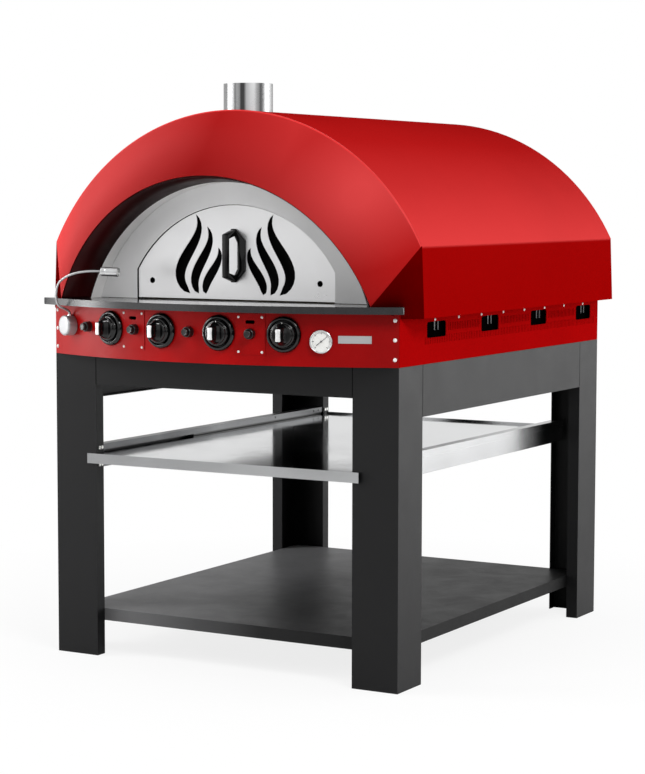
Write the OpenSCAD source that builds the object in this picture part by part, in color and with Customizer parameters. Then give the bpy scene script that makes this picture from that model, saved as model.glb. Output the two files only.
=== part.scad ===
// Gas-fired dome pizza oven on a steel stand with a pull-out tray.
// Millimetres. +Z is up, the oven's mouth faces -Y and +X is to its right.
// The origin is on the floor, under the middle of the overall footprint.

/* [Stand] */
// Width of the stand across its legs
stand_w = 1050; // [1030:2:1070]
// Depth of the stand from front to back
stand_d = 1284; // [1272:2:1300]
// Height of the stand, where the oven base sits
stand_h = 822; // [760:1:830]
// Width of each outer face of a leg
leg_face = 131; // [120:1:135]
// Depth of the return lips along a leg's free edges
leg_lip = 34; // [26:1:36]
// Sheet thickness of the legs and aprons
stand_t = 3; // [2.5:0.5:3]
// Height of the front and rear aprons
apron_front_h = 81; // [60:1:110]
// Height of the side aprons
apron_side_h = 133; // [110:1:150]
// Height of the bottom shelf's top face above the floor
shelf_z = 125; // [100:1:200]
// Depth of the bottom shelf's folded edge
shelf_edge = 33; // [25:1:40]

/* [Pull-out tray] */
// Height of the tray's surface above the floor
tray_z = 555; // [480:1:600]
// Height of the tray's front flange
tray_flange = 27; // [20:1:32]
// How far the tray pulls out
tray_travel = 450; // [300:10:500]

/* [Base and control panel] */
// Height of the red base above the stand
base_h = 134; // [130:1:140]
// Radius of the bowed control panel, seen from above
panel_r = 1200; // [1150:10:1400]
// Sheet thickness of the base, panel and hood
sheet = 2; // [1.5:0.5:2]
// Thickness of the worktop slab
worktop_t = 18; // [15:1:20]
// How far the worktop reaches past the panel
worktop_over = 31; // [20:1:40]

/* [Hood] */
// Half width of the hood where its arch springs
spring_x = 559; // [556:1:561]
// Height of the springing line
spring_z = 1123; // [1110:1:1140]
// Height of the hood's crown
crown_z = 1470; // [1450:1:1500]
// Half width of the hood at its foot
hood_foot_x = 566; // [564:1:572]
// Radius of the mouth arch
mouth_r = 503; // [495:1:506]
// Height of the mouth arch's crown
mouth_top = 1300; // [1295:1:1305]
// Outer radius of the flue pipe
flue_r = 65; // [50:1:70]
// Height of the flue's open end
flue_top = 1541; // [1520:1:1700]

/* [Door] */
// Half width of the door
door_x = 303; // [290:1:305]
// Height of the door's crown
door_top = 1224; // [1210:1:1228]
// Height of the door's shoulders
door_shoulder = 1052; // [1040:1:1060]
// How far the door pulls out
door_travel = 120; // [80:5:125]

/* [Controls] */
// Spacing of the four gas knobs along the panel
knob_pitch = 177; // [170:1:180]
// Height of the knobs' centres
knob_z = 902; // [895:1:906]
// How far a knob's grip stands off the panel
knob_len = 50; // [44:1:56]
// Radius of a knob bezel
bezel_r = 46; // [40:1:48]
// How far an igniter button travels
button_travel = 4; // [3:0.5:4]
// Radius of the thermometer's rim
thermo_r = 29.5; // [26:0.5:32]

/* [Hidden] */

round_fn = 96;
arch_fn = 180;
big = 3000;
gap = 0.5;

// Stand
hx = stand_w / 2;
hy = stand_d / 2;
lip_x = hx - leg_face;
lip_y = hy - leg_face;
apron_t = 3;
tab_w = 28;
bolt_r = 4;
bolt_head_r = 7;
apron_bolt_z = [stand_h - 22, stand_h - 58];
shelf_x = hx - leg_lip - 1;
shelf_y = hy - leg_lip - 1;
bracket_t = 3;

// Tray and its rails
rail_top = tray_z + 22;
rail_bottom = tray_z - 40;
rail_in = lip_x + stand_t;
rail_out = lip_x + 31;
rail_t = 2;
rail_lip = 16;
rail_front = -(hy - 8);
rail_rear = hy - 12;
rail_bolt_y = [hy - 13, hy - 25];
rail_bolt_z = [rail_top - 8, rail_bottom + 8];
tray_t = 1.5;
tray_x = lip_x - 4;
tray_front_x = lip_x + 23;
tray_front_y = -(hy + 10);
tray_rear_y = hy - 18;
runner_front = -(hy - leg_lip) + tray_travel + 10;
runner_rear = tray_rear_y - 20;

// Base
base_top = stand_h + base_h;
panel_cy = -hy + sqrt(panel_r * panel_r - hx * hx);
panel_a = asin(hx / panel_r);
panel_top = base_top - gap;
side_top = base_top - 1;
deck_z = base_top - 13;
floor_z = stand_h + sheet + gap;
worktop_top = base_top + worktop_t;
worktop_r = panel_r + worktop_over;
worktop_x = 550;
port_w = 110;
port_h = 41;
port_z = stand_h + 86.5;
port_y0 = 48.5;
port_pitch = 321.5;
vent_pitch = 10;
vent_w = 3;
vent_h = 20;
vent_rows = [port_z + 4, port_z - 26];
knob_x = [for (i = [-1.5 : 1 : 1.5]) i * knob_pitch - 15.5];
button_x = [for (x = knob_x) x - knob_pitch / 2];
hatch_x = [button_x[1] - 8, button_x[3] - 1];
hatch_w = 82;
hatch_z = [stand_h + 27, base_top - 4];
thermo_x = 344;
thermo_z = stand_h + 64;
plate_x = 424;
plate_z = stand_h + 69.5;

// Hood and mouth
hood_front = -(hy - 52);
hood_rear_y = hy + 12;
hood_foot_z = base_top - 13;
hood_rise = crown_z - spring_z;
hood_r = (spring_x * spring_x + hood_rise * hood_rise) / (2 * hood_rise);
hood_cz = crown_z - hood_r;
mouth_cz = mouth_top - mouth_r;
mouth_foot_y = -(hy + 49);
mouth_lean = 0.11;
throat_r = 445;
throat_cz = 840;
throat_front = -(hy - 22);
loft_n = 48;

// Chamber and door
surround_y = -(hy - 70);
door_y = surround_y + 4;
door_z = worktop_top + 3;
door_t = 20;
door_rise = door_top - door_shoulder;
door_r = (door_x * door_x + door_rise * door_rise) / (2 * door_rise);
door_cz = door_top - door_r;
chamber_front = door_y + door_t + 4;
chamber_rear = hy - 42;
vault_r = 395;
vault_t = 45;
blanket_r = 525;
tile_t = 30;
flue_y = -(hy - 145);

// Gas train
gas_z = knob_z - 2;
gas_y = -hy + 2;
gas_r = 11;
gas_side_x = 470;
inlet_r = 10.48;
inlet_end = hy + 24;

// Lamp
lamp_x = -444;
lamp_r = 27;
lamp_len = 29;
neck_r = 3.2;
neck_root = [-447, -(hy + 43), knob_z + lamp_r + 3];
neck_end = [-318, -(hy + 80), knob_z + 148];
head_r = 12;
head_len = 50;
head_turn = 12;
// Route of the goose neck, from its socket to the lamp head
neck_route = [
    neck_root,
    [-447.5, -687, 938], [-449, -695, 943.5], [-451, -707, 948], [-454.5, -720, 953.5],
    [-456, -730, 965], [-454.5, -736.5, 982], [-450, -740, 999], [-443, -742, 1014], [-431, -742, 1026],
    [-414, -740, 1036], [-394, -737, 1043], [-372, -733, 1047.5], [-346, -728, 1050],
    neck_end
];

// The row's origin is at the middle of the overall depth, so the design, which is
// drawn about the stand's middle, moves back by this much
knob_tilt = asin(knob_x[2] / panel_r);
grip_w = 16;
front_reach = panel_cy - (panel_r + knob_len) * cos(knob_tilt) - grip_w / 2 * sin(knob_tilt);
origin_y = -(front_reach + inlet_end) / 2;

red = [0.62, 0.03, 0.04];
stand_black = [0.16, 0.16, 0.17];
steel = [0.78, 0.79, 0.80];
polished = [0.88, 0.88, 0.90];
slab_grey = [0.32, 0.33, 0.34];
gloss_black = [0.04, 0.04, 0.045];
brass = [0.78, 0.62, 0.30];
stone = [0.80, 0.74, 0.64];
wool = [0.90, 0.88, 0.82];
white = [0.95, 0.95, 0.94];

// ---------- helpers ----------

// Moves the design so that the origin is under the middle of the whole object
module framed() {
    translate([0, origin_y, 0]) children();
}

// A box between two corners
module span(a, b) {
    translate(a) cube(b - a);
}

// A round bar along Y
module barrel(r, cz, y0, y1, fn = arch_fn) {
    translate([0, y0, cz]) rotate([-90, 0, 0]) cylinder(r = r, h = y1 - y0, $fn = fn);
}

// A bar along Y whose cross-section is cut off below a height
module arch(r, cz, foot, y0, y1) {
    intersection() {
        barrel(r, cz, y0, y1);
        span([-big, y0 - 1, foot], [big, y1 + 1, big]);
    }
}

// Children are placed on the bowed panel, with +Z along its outward normal
module on_panel(x, z, out = 0) {
    translate([0, panel_cy, z]) rotate([0, 0, asin(x / panel_r)])
        translate([0, -(panel_r + out), 0]) rotate([90, 0, 0]) children();
}

// A curved plate that follows the panel, between two stand-offs and two angles
module curved_plate(out0, out1, z0, z1, a0, a1) {
    translate([0, panel_cy, 0]) rotate([0, 0, a0 - 90])
        rotate_extrude(angle = a1 - a0, $fn = 720)
            translate([panel_r + out0, z0]) square([out1 - out0, z1 - z0]);
}

// A rounded rectangle, centred, standing on XY
module pill(w, h, r, t) {
    hull() for (sx = [-1, 1], sy = [-1, 1])
        translate([sx * (w / 2 - r), sy * (h / 2 - r), 0]) cylinder(r = r, h = t, $fn = 24);
}

// Copies children to both sides of the middle plane
module both_sides() {
    children();
    mirror([1, 0, 0]) children();
}

// ---------- stand ----------

// One folded leg, drawn at the front right corner
module leg_profile() {
    difference() {
        union() {
            span([lip_x, -hy, 0], [hx, -hy + stand_t, stand_h]);
            span([hx - stand_t, -hy, 0], [hx, -lip_y, stand_h]);
            span([lip_x, -hy, 0], [lip_x + stand_t, -hy + leg_lip, stand_h]);
            span([hx - leg_lip, -lip_y - stand_t, 0], [hx, -lip_y, stand_h]);
        }
        for (z = apron_bolt_z) {
            translate([lip_x - 1, -hy + 20, z]) rotate([0, 90, 0])
                cylinder(r = bolt_r + 0.4, h = stand_t + 2, $fn = 32);
            translate([hx - 20, -lip_y + 1, z]) rotate([90, 0, 0])
                cylinder(r = bolt_r + 0.4, h = stand_t + 2, $fn = 32);
        }
        for (y = rail_bolt_y, z = rail_bolt_z)
            translate([lip_x - 1, -y, z]) rotate([0, 90, 0])
                cylinder(r = 2.9, h = stand_t + 2, $fn = 24);
    }
}

module leg(sx, sy) {
    framed() color(stand_black)
        mirror([sx < 0 ? 1 : 0, 0, 0]) mirror([0, sy > 0 ? 1 : 0, 0]) leg_profile();
}

module leg_front_left() { leg(-1, -1); }
module leg_front_right() { leg(1, -1); }
module leg_rear_left() { leg(-1, 1); }
module leg_rear_right() { leg(1, 1); }

// Front apron: a folded channel with an end tab behind each leg lip
module apron_across() {
    x = lip_x - gap;
    difference() {
        union() {
            span([-x, -hy, stand_h - apron_front_h], [x, -hy + apron_t, stand_h]);
            span([-x, -hy, stand_h - apron_t], [x, -hy + 30, stand_h]);
            span([-x, -hy, stand_h - apron_front_h], [x, -hy + 18, stand_h - apron_front_h + apron_t]);
            for (s = [-1, 1])
                span([s * (x - apron_t / 2) - apron_t / 2, -hy, stand_h - apron_front_h],
                    [s * (x - apron_t / 2) + apron_t / 2, -hy + 30, stand_h]);
        }
        for (s = [-1, 1], z = apron_bolt_z)
            translate([s * (x - apron_t / 2), -hy + 20, z]) rotate([0, 90, 0])
                cylinder(r = bolt_r + 0.4, h = apron_t * 3, center = true, $fn = 32);
    }
}

// Side apron, drawn on the right
module apron_along() {
    y = lip_y - gap;
    difference() {
        union() {
            span([hx - apron_t, -y, stand_h - apron_side_h], [hx, y, stand_h]);
            span([hx - 30, -y, stand_h - apron_t], [hx, y, stand_h]);
            span([hx - 18, -y, stand_h - apron_side_h], [hx, y, stand_h - apron_side_h + apron_t]);
            for (s = [-1, 1])
                span([hx - 30, s * (y - apron_t / 2) - apron_t / 2, stand_h - apron_side_h],
                    [hx, s * (y - apron_t / 2) + apron_t / 2, stand_h]);
        }
        for (s = [-1, 1], z = apron_bolt_z)
            translate([hx - 20, s * (y - apron_t / 2), z]) rotate([90, 0, 0])
                cylinder(r = bolt_r + 0.4, h = apron_t * 3, center = true, $fn = 32);
    }
}

module apron_front() { framed() color(stand_black) apron_across(); }
module apron_rear() { framed() color(stand_black) mirror([0, 1, 0]) apron_across(); }
module apron_left() { framed() color(stand_black) mirror([1, 0, 0]) apron_along(); }
module apron_right() { framed() color(stand_black) apron_along(); }

module bottom_shelf() {
    t = 2;
    framed() color(stand_black) difference() {
        span([-shelf_x, -shelf_y, shelf_z - shelf_edge], [shelf_x, shelf_y, shelf_z]);
        span([-shelf_x + t, -shelf_y + t, shelf_z - shelf_edge - 1], [shelf_x - t, shelf_y - t, shelf_z - t]);
    }
}

// A corner plate in each leg, with an upturned tab against each leg face
module shelf_brackets() {
    z = shelf_z - shelf_edge;
    framed() color(stand_black) both_sides() for (s = [0, 1]) mirror([0, s, 0]) {
        span([lip_x + 12, -hy + stand_t, z - bracket_t], [hx - stand_t, -lip_y - 12, z]);
        span([hx - stand_t - bracket_t, -hy + 20, z - 40], [hx - stand_t, -lip_y - 12, z - bracket_t]);
        span([lip_x + 12, -hy + stand_t, z - 40], [hx - 20, -hy + stand_t + bracket_t, z - bracket_t]);
    }
}

// A hexagon bolt and nut along +X, starting at its head's bearing face
module hex_bolt(grip) {
    rotate([0, 90, 0]) {
        translate([0, 0, -5]) cylinder(r = bolt_head_r, h = 5, $fn = 6);
        cylinder(r = bolt_r, h = grip + 9, $fn = 32);
        translate([0, 0, grip]) cylinder(r = bolt_head_r, h = 6, $fn = 6);
    }
}

module stand_bolts() {
    grip = stand_t + apron_t + gap;
    framed() color(steel) both_sides() for (s = [0, 1], z = apron_bolt_z) mirror([0, s, 0]) {
        translate([lip_x + stand_t, -hy + 20, z]) mirror([1, 0, 0]) hex_bolt(grip);
        translate([hx - 20, -lip_y - stand_t, z]) rotate([0, 0, 90]) hex_bolt(grip);
    }
}

// ---------- pull-out tray ----------

// Lipped channel that opens towards the middle, drawn on the right
module rail_profile() {
    difference() {
        union() {
            span([rail_out - rail_t, rail_front, rail_bottom], [rail_out, rail_rear, rail_top]);
            for (z = [rail_bottom, rail_top - rail_t])
                span([rail_in, rail_front, z], [rail_out, rail_rear, z + rail_t]);
            span([rail_in, rail_front, rail_bottom], [rail_in + rail_t, rail_rear, rail_bottom + rail_lip]);
            span([rail_in, rail_front, rail_top - rail_lip], [rail_in + rail_t, rail_rear, rail_top]);
            // rolled bead along the web
            span([rail_out, rail_front, tray_z + 1], [rail_out + 1.5, rail_rear, tray_z + 4]);
        }
        for (y = rail_bolt_y, z = rail_bolt_z, s = [-1, 1])
            translate([rail_in - 1, s * y, z]) rotate([0, 90, 0])
                cylinder(r = 2.9, h = rail_t + 2, $fn = 24);
        // drain and adjustment holes in the upper lip
        for (y = [hy - 62, hy - 92, hy - 330])
            translate([rail_in - 1, y, rail_top - 8]) rotate([0, 90, 0])
                cylinder(r = 3, h = rail_t + 2, $fn = 24);
    }
}

module rail_left() { framed() color(steel) mirror([1, 0, 0]) rail_profile(); }
module rail_right() { framed() color(steel) rail_profile(); }

module rail_bolts() {
    framed() color(steel) both_sides() for (s = [-1, 1], y = rail_bolt_y, z = rail_bolt_z)
        translate([lip_x, s * y, z]) rotate([0, 90, 0]) {
            translate([0, 0, -3]) cylinder(r = 4.8, h = 3, $fn = 32);
            cylinder(r = 2.5, h = stand_t + rail_t + 5, $fn = 24);
            translate([0, 0, stand_t + rail_t + 0.2]) cylinder(r = 4.6, h = 4, $fn = 6);
        }
}

// One folded sheet: flat surface, side skirts, and a front flange wider than the sheet
module tray() {
    framed() color(polished) difference() {
        union() {
            span([-tray_x, tray_front_y, tray_z - tray_t], [tray_x, tray_rear_y, tray_z]);
            for (s = [-1, 1])
                span([s * (tray_x - tray_t / 2) - tray_t / 2, -hy + 4, tray_z - 22],
                    [s * (tray_x - tray_t / 2) + tray_t / 2, tray_rear_y, tray_z]);
            span([-tray_front_x, tray_front_y, tray_z - tray_flange],
                [tray_front_x, tray_front_y + tray_t, tray_z]);
            span([-tray_front_x, tray_front_y, tray_z - tray_t], [tray_front_x, -hy - 2, tray_z]);
            span([-tray_front_x, tray_front_y, tray_z - tray_flange],
                [tray_front_x, tray_front_y + 7, tray_z - tray_flange + tray_t]);
            span([-tray_x, tray_rear_y - tray_t, tray_z], [tray_x, tray_rear_y, tray_z + 6]);
        }
        for (s = [-1, 1]) translate([s * 306, hy - 75, tray_z - 5]) cylinder(r = 3.5, h = 10, $fn = 24);
    }
}

// A sliding shoe and its neck along each side of the tray, inside the rails
module tray_runners() {
    clear = 0.8;
    framed() color(gloss_black) both_sides() {
        span([rail_in + rail_t + clear, runner_front, rail_bottom + rail_t + clear],
            [rail_out - rail_t - clear, runner_rear, rail_top - rail_t - clear]);
        span([tray_x, runner_front, tray_z - 20], [rail_in + rail_t + clear, runner_rear, tray_z - tray_t]);
    }
}

// ---------- base ----------

module base_floor() {
    framed() color(stand_black) intersection() {
        translate([0, panel_cy, stand_h]) cylinder(r = panel_r - sheet - 1, h = sheet, $fn = 720);
        span([-hx + sheet + gap, -big, stand_h - 1], [hx - sheet - gap, hy - sheet - gap, base_top]);
    }
}

// Rounded ventilation ports and two rows of slots, cut along +X
module side_cuts() {
    for (i = [-1.5 : 1 : 1.5])
        translate([hx - 10, port_y0 + i * port_pitch, port_z]) rotate([90, 0, 90]) pill(port_w, port_h, 8, 20);
    for (y = [-500 : vent_pitch : 610])
        span([hx - 10, y, vent_rows[1] - vent_h / 2], [hx + 10, y + vent_w, vent_rows[1] + vent_h / 2]);
    for (i = [-1 : 1], k = [-9 : 9])
        translate([hx - 10, port_y0 + i * port_pitch + k * vent_pitch - vent_w / 2, vent_rows[0] - vent_h / 2])
            cube([20, vent_w, vent_h]);
}

// Side wall with a flange behind the end of the control panel, one above the floor sheet
// and a ledge that carries the oven deck, drawn on the right
module base_side() {
    union() {
        difference() {
            union() {
                span([hx - sheet, -hy + 3, stand_h + gap], [hx, hy - sheet, side_top]);
                span([hx - 20, -hy + 60, floor_z], [hx, hy - sheet, floor_z + sheet]);
                span([hx - 20, chamber_front, deck_z - gap - sheet], [hx, hy - sheet, deck_z - gap]);
            }
            side_cuts();
        }
        difference() {
            on_panel(hx - 12, stand_h + gap, -sheet - gap - 2)
                translate([-11, 0, 0]) cube([26, base_h - 2, 2]);
            span([hx, -big, 0], [big, big, big]);
            span([-big, -big, 0], [big, big, floor_z]);
        }
    }
}

module base_side_left() { framed() color(red) mirror([1, 0, 0]) base_side(); }
module base_side_right() { framed() color(red) base_side(); }

module base_rear() {
    framed() color(red) difference() {
        span([-hx, hy - sheet + gap / 2, stand_h + gap], [hx, hy + gap / 2, side_top]);
        translate([gas_side_x, hy + 5, gas_z]) rotate([90, 0, 0]) cylinder(r = gas_r + 1, h = 12, $fn = 48);
        for (x = [-380 : 20 : 380])
            span([x - 1.5, hy - 10, port_z - 15], [x + 1.5, hy + 10, port_z + 15]);
    }
}

module oven_deck() {
    framed() color(steel) span([-hx + sheet + 1, chamber_front, deck_z], [hx - sheet - 1, hy - sheet - 2, deck_z + sheet]);
}

// A stadium-shaped sight hole for a pilot flame
module sight_hole(t) {
    translate([0, 0, -t]) pill(26, 9, 4.4, 2 * t);
}

module control_panel() {
    framed() color(red) difference() {
        curved_plate(-sheet, 0, stand_h + gap, panel_top, -panel_a, panel_a);
        for (x = knob_x) on_panel(x, knob_z, -10) cylinder(r = 9, h = 20, $fn = 48);
        for (x = button_x) on_panel(x, knob_z, -10) cylinder(r = 8.3, h = 20, $fn = 48);
        for (x = hatch_x) on_panel(x, knob_z + 29.5) sight_hole(10);
        on_panel(thermo_x, thermo_z, -10) cylinder(r = 5, h = 20, $fn = 32);
    }
}

module service_hatches() {
    framed() color(red) for (i = [0, 1]) {
        a = asin(hatch_x[i] / panel_r);
        half = asin(hatch_w / 2 / panel_r);
        difference() {
            curved_plate(0, 1.5, hatch_z[0], hatch_z[1], a - half, a + half);
            on_panel(button_x[1 + 2 * i], knob_z, -10) cylinder(r = 14, h = 20, $fn = 48);
            on_panel(hatch_x[i], knob_z + 29.5) sight_hole(10);
            on_panel(knob_x[2 * i], knob_z, -10) cylinder(r = bezel_r + 1, h = 20, $fn = 96);
        }
    }
}

// Dome-headed screw with its shank behind the face it clamps
module dome_screw(r, rise) {
    ball = (r * r + rise * rise) / (2 * rise);
    intersection() {
        translate([0, 0, rise - ball]) sphere(r = ball, $fn = 48);
        cylinder(r = r, h = rise + 1, $fn = 32);
    }
}

module panel_screws() {
    framed() color(white) {
        for (x = hatch_x, sx = [-1, 1], z = [hatch_z[0] + 7, hatch_z[1] - 8])
            on_panel(x + sx * 32, z, 1.5) dome_screw(3.4, 2);
        for (s = [-1, 1], z = [stand_h + 20, stand_h + 69, stand_h + 118])
            on_panel(s * 516, z) dome_screw(5, 2.8);
    }
}

module name_plate() {
    half = asin(42 / panel_r);
    a = asin(plate_x / panel_r);
    framed() color(steel) curved_plate(0, 1, plate_z - 9.5, plate_z + 9.5, a - half, a + half);
}

// Slab with a bowed front and radial ends, notched round the hood's front corners
module worktop() {
    tip_a = asin(worktop_x / worktop_r);
    out = worktop_r * 1.1;
    neck = worktop_r - 39;
    mouth_x = sqrt(mouth_r * mouth_r - pow(worktop_top - mouth_cz, 2));
    throat_x = sqrt(throat_r * throat_r - pow(worktop_top - throat_cz, 2)) + 7;
    half = [
        [out * sin(tip_a), panel_cy - out * cos(tip_a)],
        [neck * sin(tip_a), panel_cy - neck * cos(tip_a)],
        [mouth_x - 1.5, mouth_foot_y - 3.5],
        [throat_x, throat_front],
        [throat_x, chamber_front - 2]
    ];
    framed() color(slab_grey) intersection() {
        translate([0, panel_cy, base_top]) cylinder(r = worktop_r, h = worktop_t, $fn = 720);
        translate([0, 0, base_top - 1]) linear_extrude(worktop_t + 2)
            polygon(concat(half, [for (i = [len(half) - 1 : -1 : 0]) [-half[i][0], half[i][1]]]));
    }
}

// ---------- oven chamber ----------

// Six refractory tiles that make the cooking floor
module floor_tiles() {
    half_w = 368;
    rows = 3;
    joint = 2;
    depth = (chamber_rear - vault_t - chamber_front - 4) / rows;
    framed() color(stone) for (s = [-1, 1], i = [0 : rows - 1]) {
        x0 = s < 0 ? -half_w : joint / 2;
        span([x0, chamber_front + 1 + i * depth, deck_z + sheet],
            [x0 + half_w - joint / 2, chamber_front + 1 + (i + 1) * depth - joint, deck_z + sheet + tile_t]);
    }
}

// Cast refractory vault with a closed rear wall
module oven_vault() {
    foot = deck_z + sheet;
    framed() color(stone) difference() {
        arch(vault_r + vault_t, throat_cz, foot, chamber_front, chamber_rear);
        arch(vault_r, throat_cz, foot - 1, chamber_front - 1, chamber_rear - vault_t);
        translate([0, flue_y, throat_cz]) cylinder(r = flue_r - 3, h = 600, $fn = round_fn);
    }
}

module insulation_blanket() {
    foot = deck_z + sheet;
    framed() color(wool) difference() {
        arch(blanket_r, throat_cz, foot, chamber_front, chamber_rear + 30);
        arch(vault_r + vault_t + gap, throat_cz, foot - 1, chamber_front - 1, chamber_rear + gap);
        translate([0, flue_y, throat_cz]) cylinder(r = flue_r + 1, h = 700, $fn = round_fn);
    }
}

module throat_liner() {
    framed() color(steel) difference() {
        arch(throat_r + 1.5, throat_cz, worktop_top, throat_front + gap, surround_y + 4);
        arch(throat_r, throat_cz, worktop_top - 1, throat_front - 1, surround_y + 5);
    }
}

// The door's outline as a bar along Y, grown by a margin
module door_outline(m, foot, y0, y1) {
    intersection() {
        arch(door_r + m, door_cz, foot, y0, y1);
        span([-door_x - m, y0 - 1, foot], [door_x + m, y1 + 1, big]);
    }
}

module door_surround() {
    foot = worktop_top + gap;
    framed() color(steel) difference() {
        union() {
            arch(throat_r - gap, throat_cz, foot, surround_y, surround_y + 2);
            door_outline(3.5, foot, surround_y, chamber_front - 2);
        }
        door_outline(1.5, foot - 1, surround_y - 1, chamber_front);
    }
}

// ---------- hood ----------

function mouth_y(z) = mouth_foot_y - mouth_lean * (z - worktop_top);
function arc_xz(r, cz, a) = [r * sin(a), cz + r * cos(a)];

// Points of an arch from its left foot to its right foot, at y = y0 + k * (z - zref)
function arch_line(r, cz, a, y0, k, zref) = [
    for (i = [0 : loft_n]) let (p = arc_xz(r, cz, -a + 2 * a * i / loft_n)) [p[0], y0 + k * (p[1] - zref), p[1]]
];

// A closed sheet between four lines of points: outer front, outer back, inner front, inner back
module loft_sheet(a, b, c, d) {
    n = len(a);
    pts = concat(a, b, c, d);
    faces = concat(
        [for (i = [0 : n - 2]) [i, i + 1, n + i + 1, n + i]],
        [for (i = [0 : n - 2]) [3 * n + i, 3 * n + i + 1, 2 * n + i + 1, 2 * n + i]],
        [for (i = [0 : n - 2]) [i, 2 * n + i, 2 * n + i + 1, i + 1]],
        [for (i = [0 : n - 2]) [n + i, n + i + 1, 3 * n + i + 1, 3 * n + i]],
        [[0, n, 3 * n, 2 * n], [n - 1, 3 * n - 1, 4 * n - 1, 2 * n - 1]]
    );
    tris = [for (f = faces) each [[f[0], f[1], f[2]], [f[0], f[2], f[3]]]];
    polyhedron(points = pts, faces = tris);
}

// Front fascia: from the hood's front edge in to the mouth, with a folded cheek at each foot
module hood_fascia() {
    spring_a = asin(spring_x / hood_r);
    mouth_a = acos((worktop_top - mouth_cz) / mouth_r);
    in_r = 1.2;
    in_y = 1.6;
    foot = hood_foot_z;
    cheek = [hx + 2, -hy + 8];
    edge = hood_front - gap - in_y;
    k = -mouth_lean;
    hood_line = arch_line(hood_r, hood_cz, spring_a, edge, 0, 0);
    hood_in = arch_line(hood_r - in_r, hood_cz, spring_a, edge + in_y, 0, 0);
    mouth_line = arch_line(mouth_r, mouth_cz, mouth_a, mouth_foot_y, k, worktop_top);
    mouth_in = arch_line(mouth_r - in_r, mouth_cz, mouth_a, mouth_foot_y + in_y, k, worktop_top);
    framed() color(red) difference() {
        loft_sheet(
            concat([[-hood_foot_x, edge, foot]], hood_line, [[hood_foot_x, edge, foot]]),
            concat([[-cheek[0], cheek[1], foot]], mouth_line, [[cheek[0], cheek[1], foot]]),
            concat([[-hood_foot_x + in_r, edge + in_y, foot]], hood_in, [[hood_foot_x - in_r, edge + in_y, foot]]),
            concat([[-cheek[0] + in_r, cheek[1] + in_y, foot]], mouth_in, [[cheek[0] - in_r, cheek[1] + in_y, foot]])
        );
        // clears the control panel's top edge, under the worktop
        span([-hx - gap, -big, 0], [hx + gap, big, base_top + gap]);
    }
}

// Painted lining that narrows from the mouth to the steel throat
module mouth_lining() {
    t = 1.5;
    front = mouth_foot_y + 3;
    rear = throat_front;
    r0 = mouth_r - 2;
    r1 = throat_r;
    a0 = acos((worktop_top + gap - mouth_cz) / r0);
    a1 = acos((worktop_top + gap - throat_cz) / r1);
    k = -mouth_lean;
    framed() color(red) loft_sheet(
        arch_line(r1 + t, throat_cz, a1, rear, 0, 0),
        arch_line(r0 + t, mouth_cz, a0, front, k, worktop_top),
        arch_line(r1, throat_cz, a1, rear, 0, 0),
        arch_line(r0, mouth_cz, a0, front, k, worktop_top)
    );
}

// Solid shape of the hood, shrunk by a margin
module hood_solid(m, y0, y1) {
    arch(hood_r - m, hood_cz, spring_z - 1, y0, y1);
    translate([0, y1, 0]) rotate([90, 0, 0]) linear_extrude(y1 - y0) polygon([
        [-hood_foot_x + m, hood_foot_z], [hood_foot_x - m, hood_foot_z],
        [spring_x - m, spring_z], [-spring_x + m, spring_z]
    ]);
}

module hood_shell() {
    framed() color(red) difference() {
        union() {
            difference() {
                hood_solid(0, hood_front, hood_rear_y);
                translate([0, 0, -0.01]) hood_solid(sheet, hood_front - 1, hood_rear_y + 1);
                span([-big, -big, 0], [big, big, hood_foot_z]);
            }
            both_sides() span([hx + 1, hood_front, hood_foot_z], [hood_foot_x - 1, hood_rear_y - 4, hood_foot_z + sheet]);
        }
        translate([0, flue_y, hood_cz]) cylinder(r = flue_r + 1.5, h = 900, $fn = round_fn);
    }
}

module hood_rear() {
    framed() color(red) difference() {
        hood_solid(sheet + gap, hood_rear_y - 3, hood_rear_y - 1);
        span([-big, -big, 0], [big, big, hood_foot_z + sheet + gap]);
    }
}

module hood_screws() {
    framed() color(white) both_sides() for (i = [0 : 7])
        translate([hx, -443.5 + i * 138.3, hood_foot_z - 8.5]) rotate([90, 0, 90]) dome_screw(4, 2.4);
}

module flue_pipe() {
    foot = throat_cz + vault_r + vault_t + 2;
    framed() color(polished) translate([0, flue_y, 0]) difference() {
        translate([0, 0, foot]) cylinder(r = flue_r, h = flue_top - foot, $fn = round_fn);
        translate([0, 0, foot - 1]) cylinder(r = flue_r - 1.5, h = flue_top - foot + 2, $fn = round_fn);
    }
}

// ---------- door ----------

// Flames: foot x, two bend controls, tip x, height and width
flames = [
    [-137.5, -237, -66, -119, 210, 32],
    [-110, -162, -39, -84, 178, 28],
    [-88, -103, -25, -50, 123, 26]
];

function bezier(a, b, c, d, t) =
    pow(1 - t, 3) * a + 3 * pow(1 - t, 2) * t * b + 3 * (1 - t) * t * t * c + pow(t, 3) * d;
function flame_mid(f, t) = [bezier(f[0], f[1], f[2], f[3], t), f[4] * t];
function flame_half(f, t) = f[5] / 2 * pow(sin(180 * pow(t, 0.7)), 0.65);
function flame_side(f, t, s) =
    let (p = flame_mid(f, t), q = flame_mid(f, t + 0.01) - flame_mid(f, t - 0.01))
    p + s * flame_half(f, t) / norm(q) * [-q[1], q[0]];

// One S-shaped flame as a bar along Y
module flame(f, depth) {
    n = 18;
    rotate([90, 0, 0]) linear_extrude(depth, center = true) polygon(concat(
        [for (i = [0 : n]) flame_side(f, i / n, 1)],
        [for (i = [n - 1 : -1 : 1]) flame_side(f, i / n, -1)]
    ));
}

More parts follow.
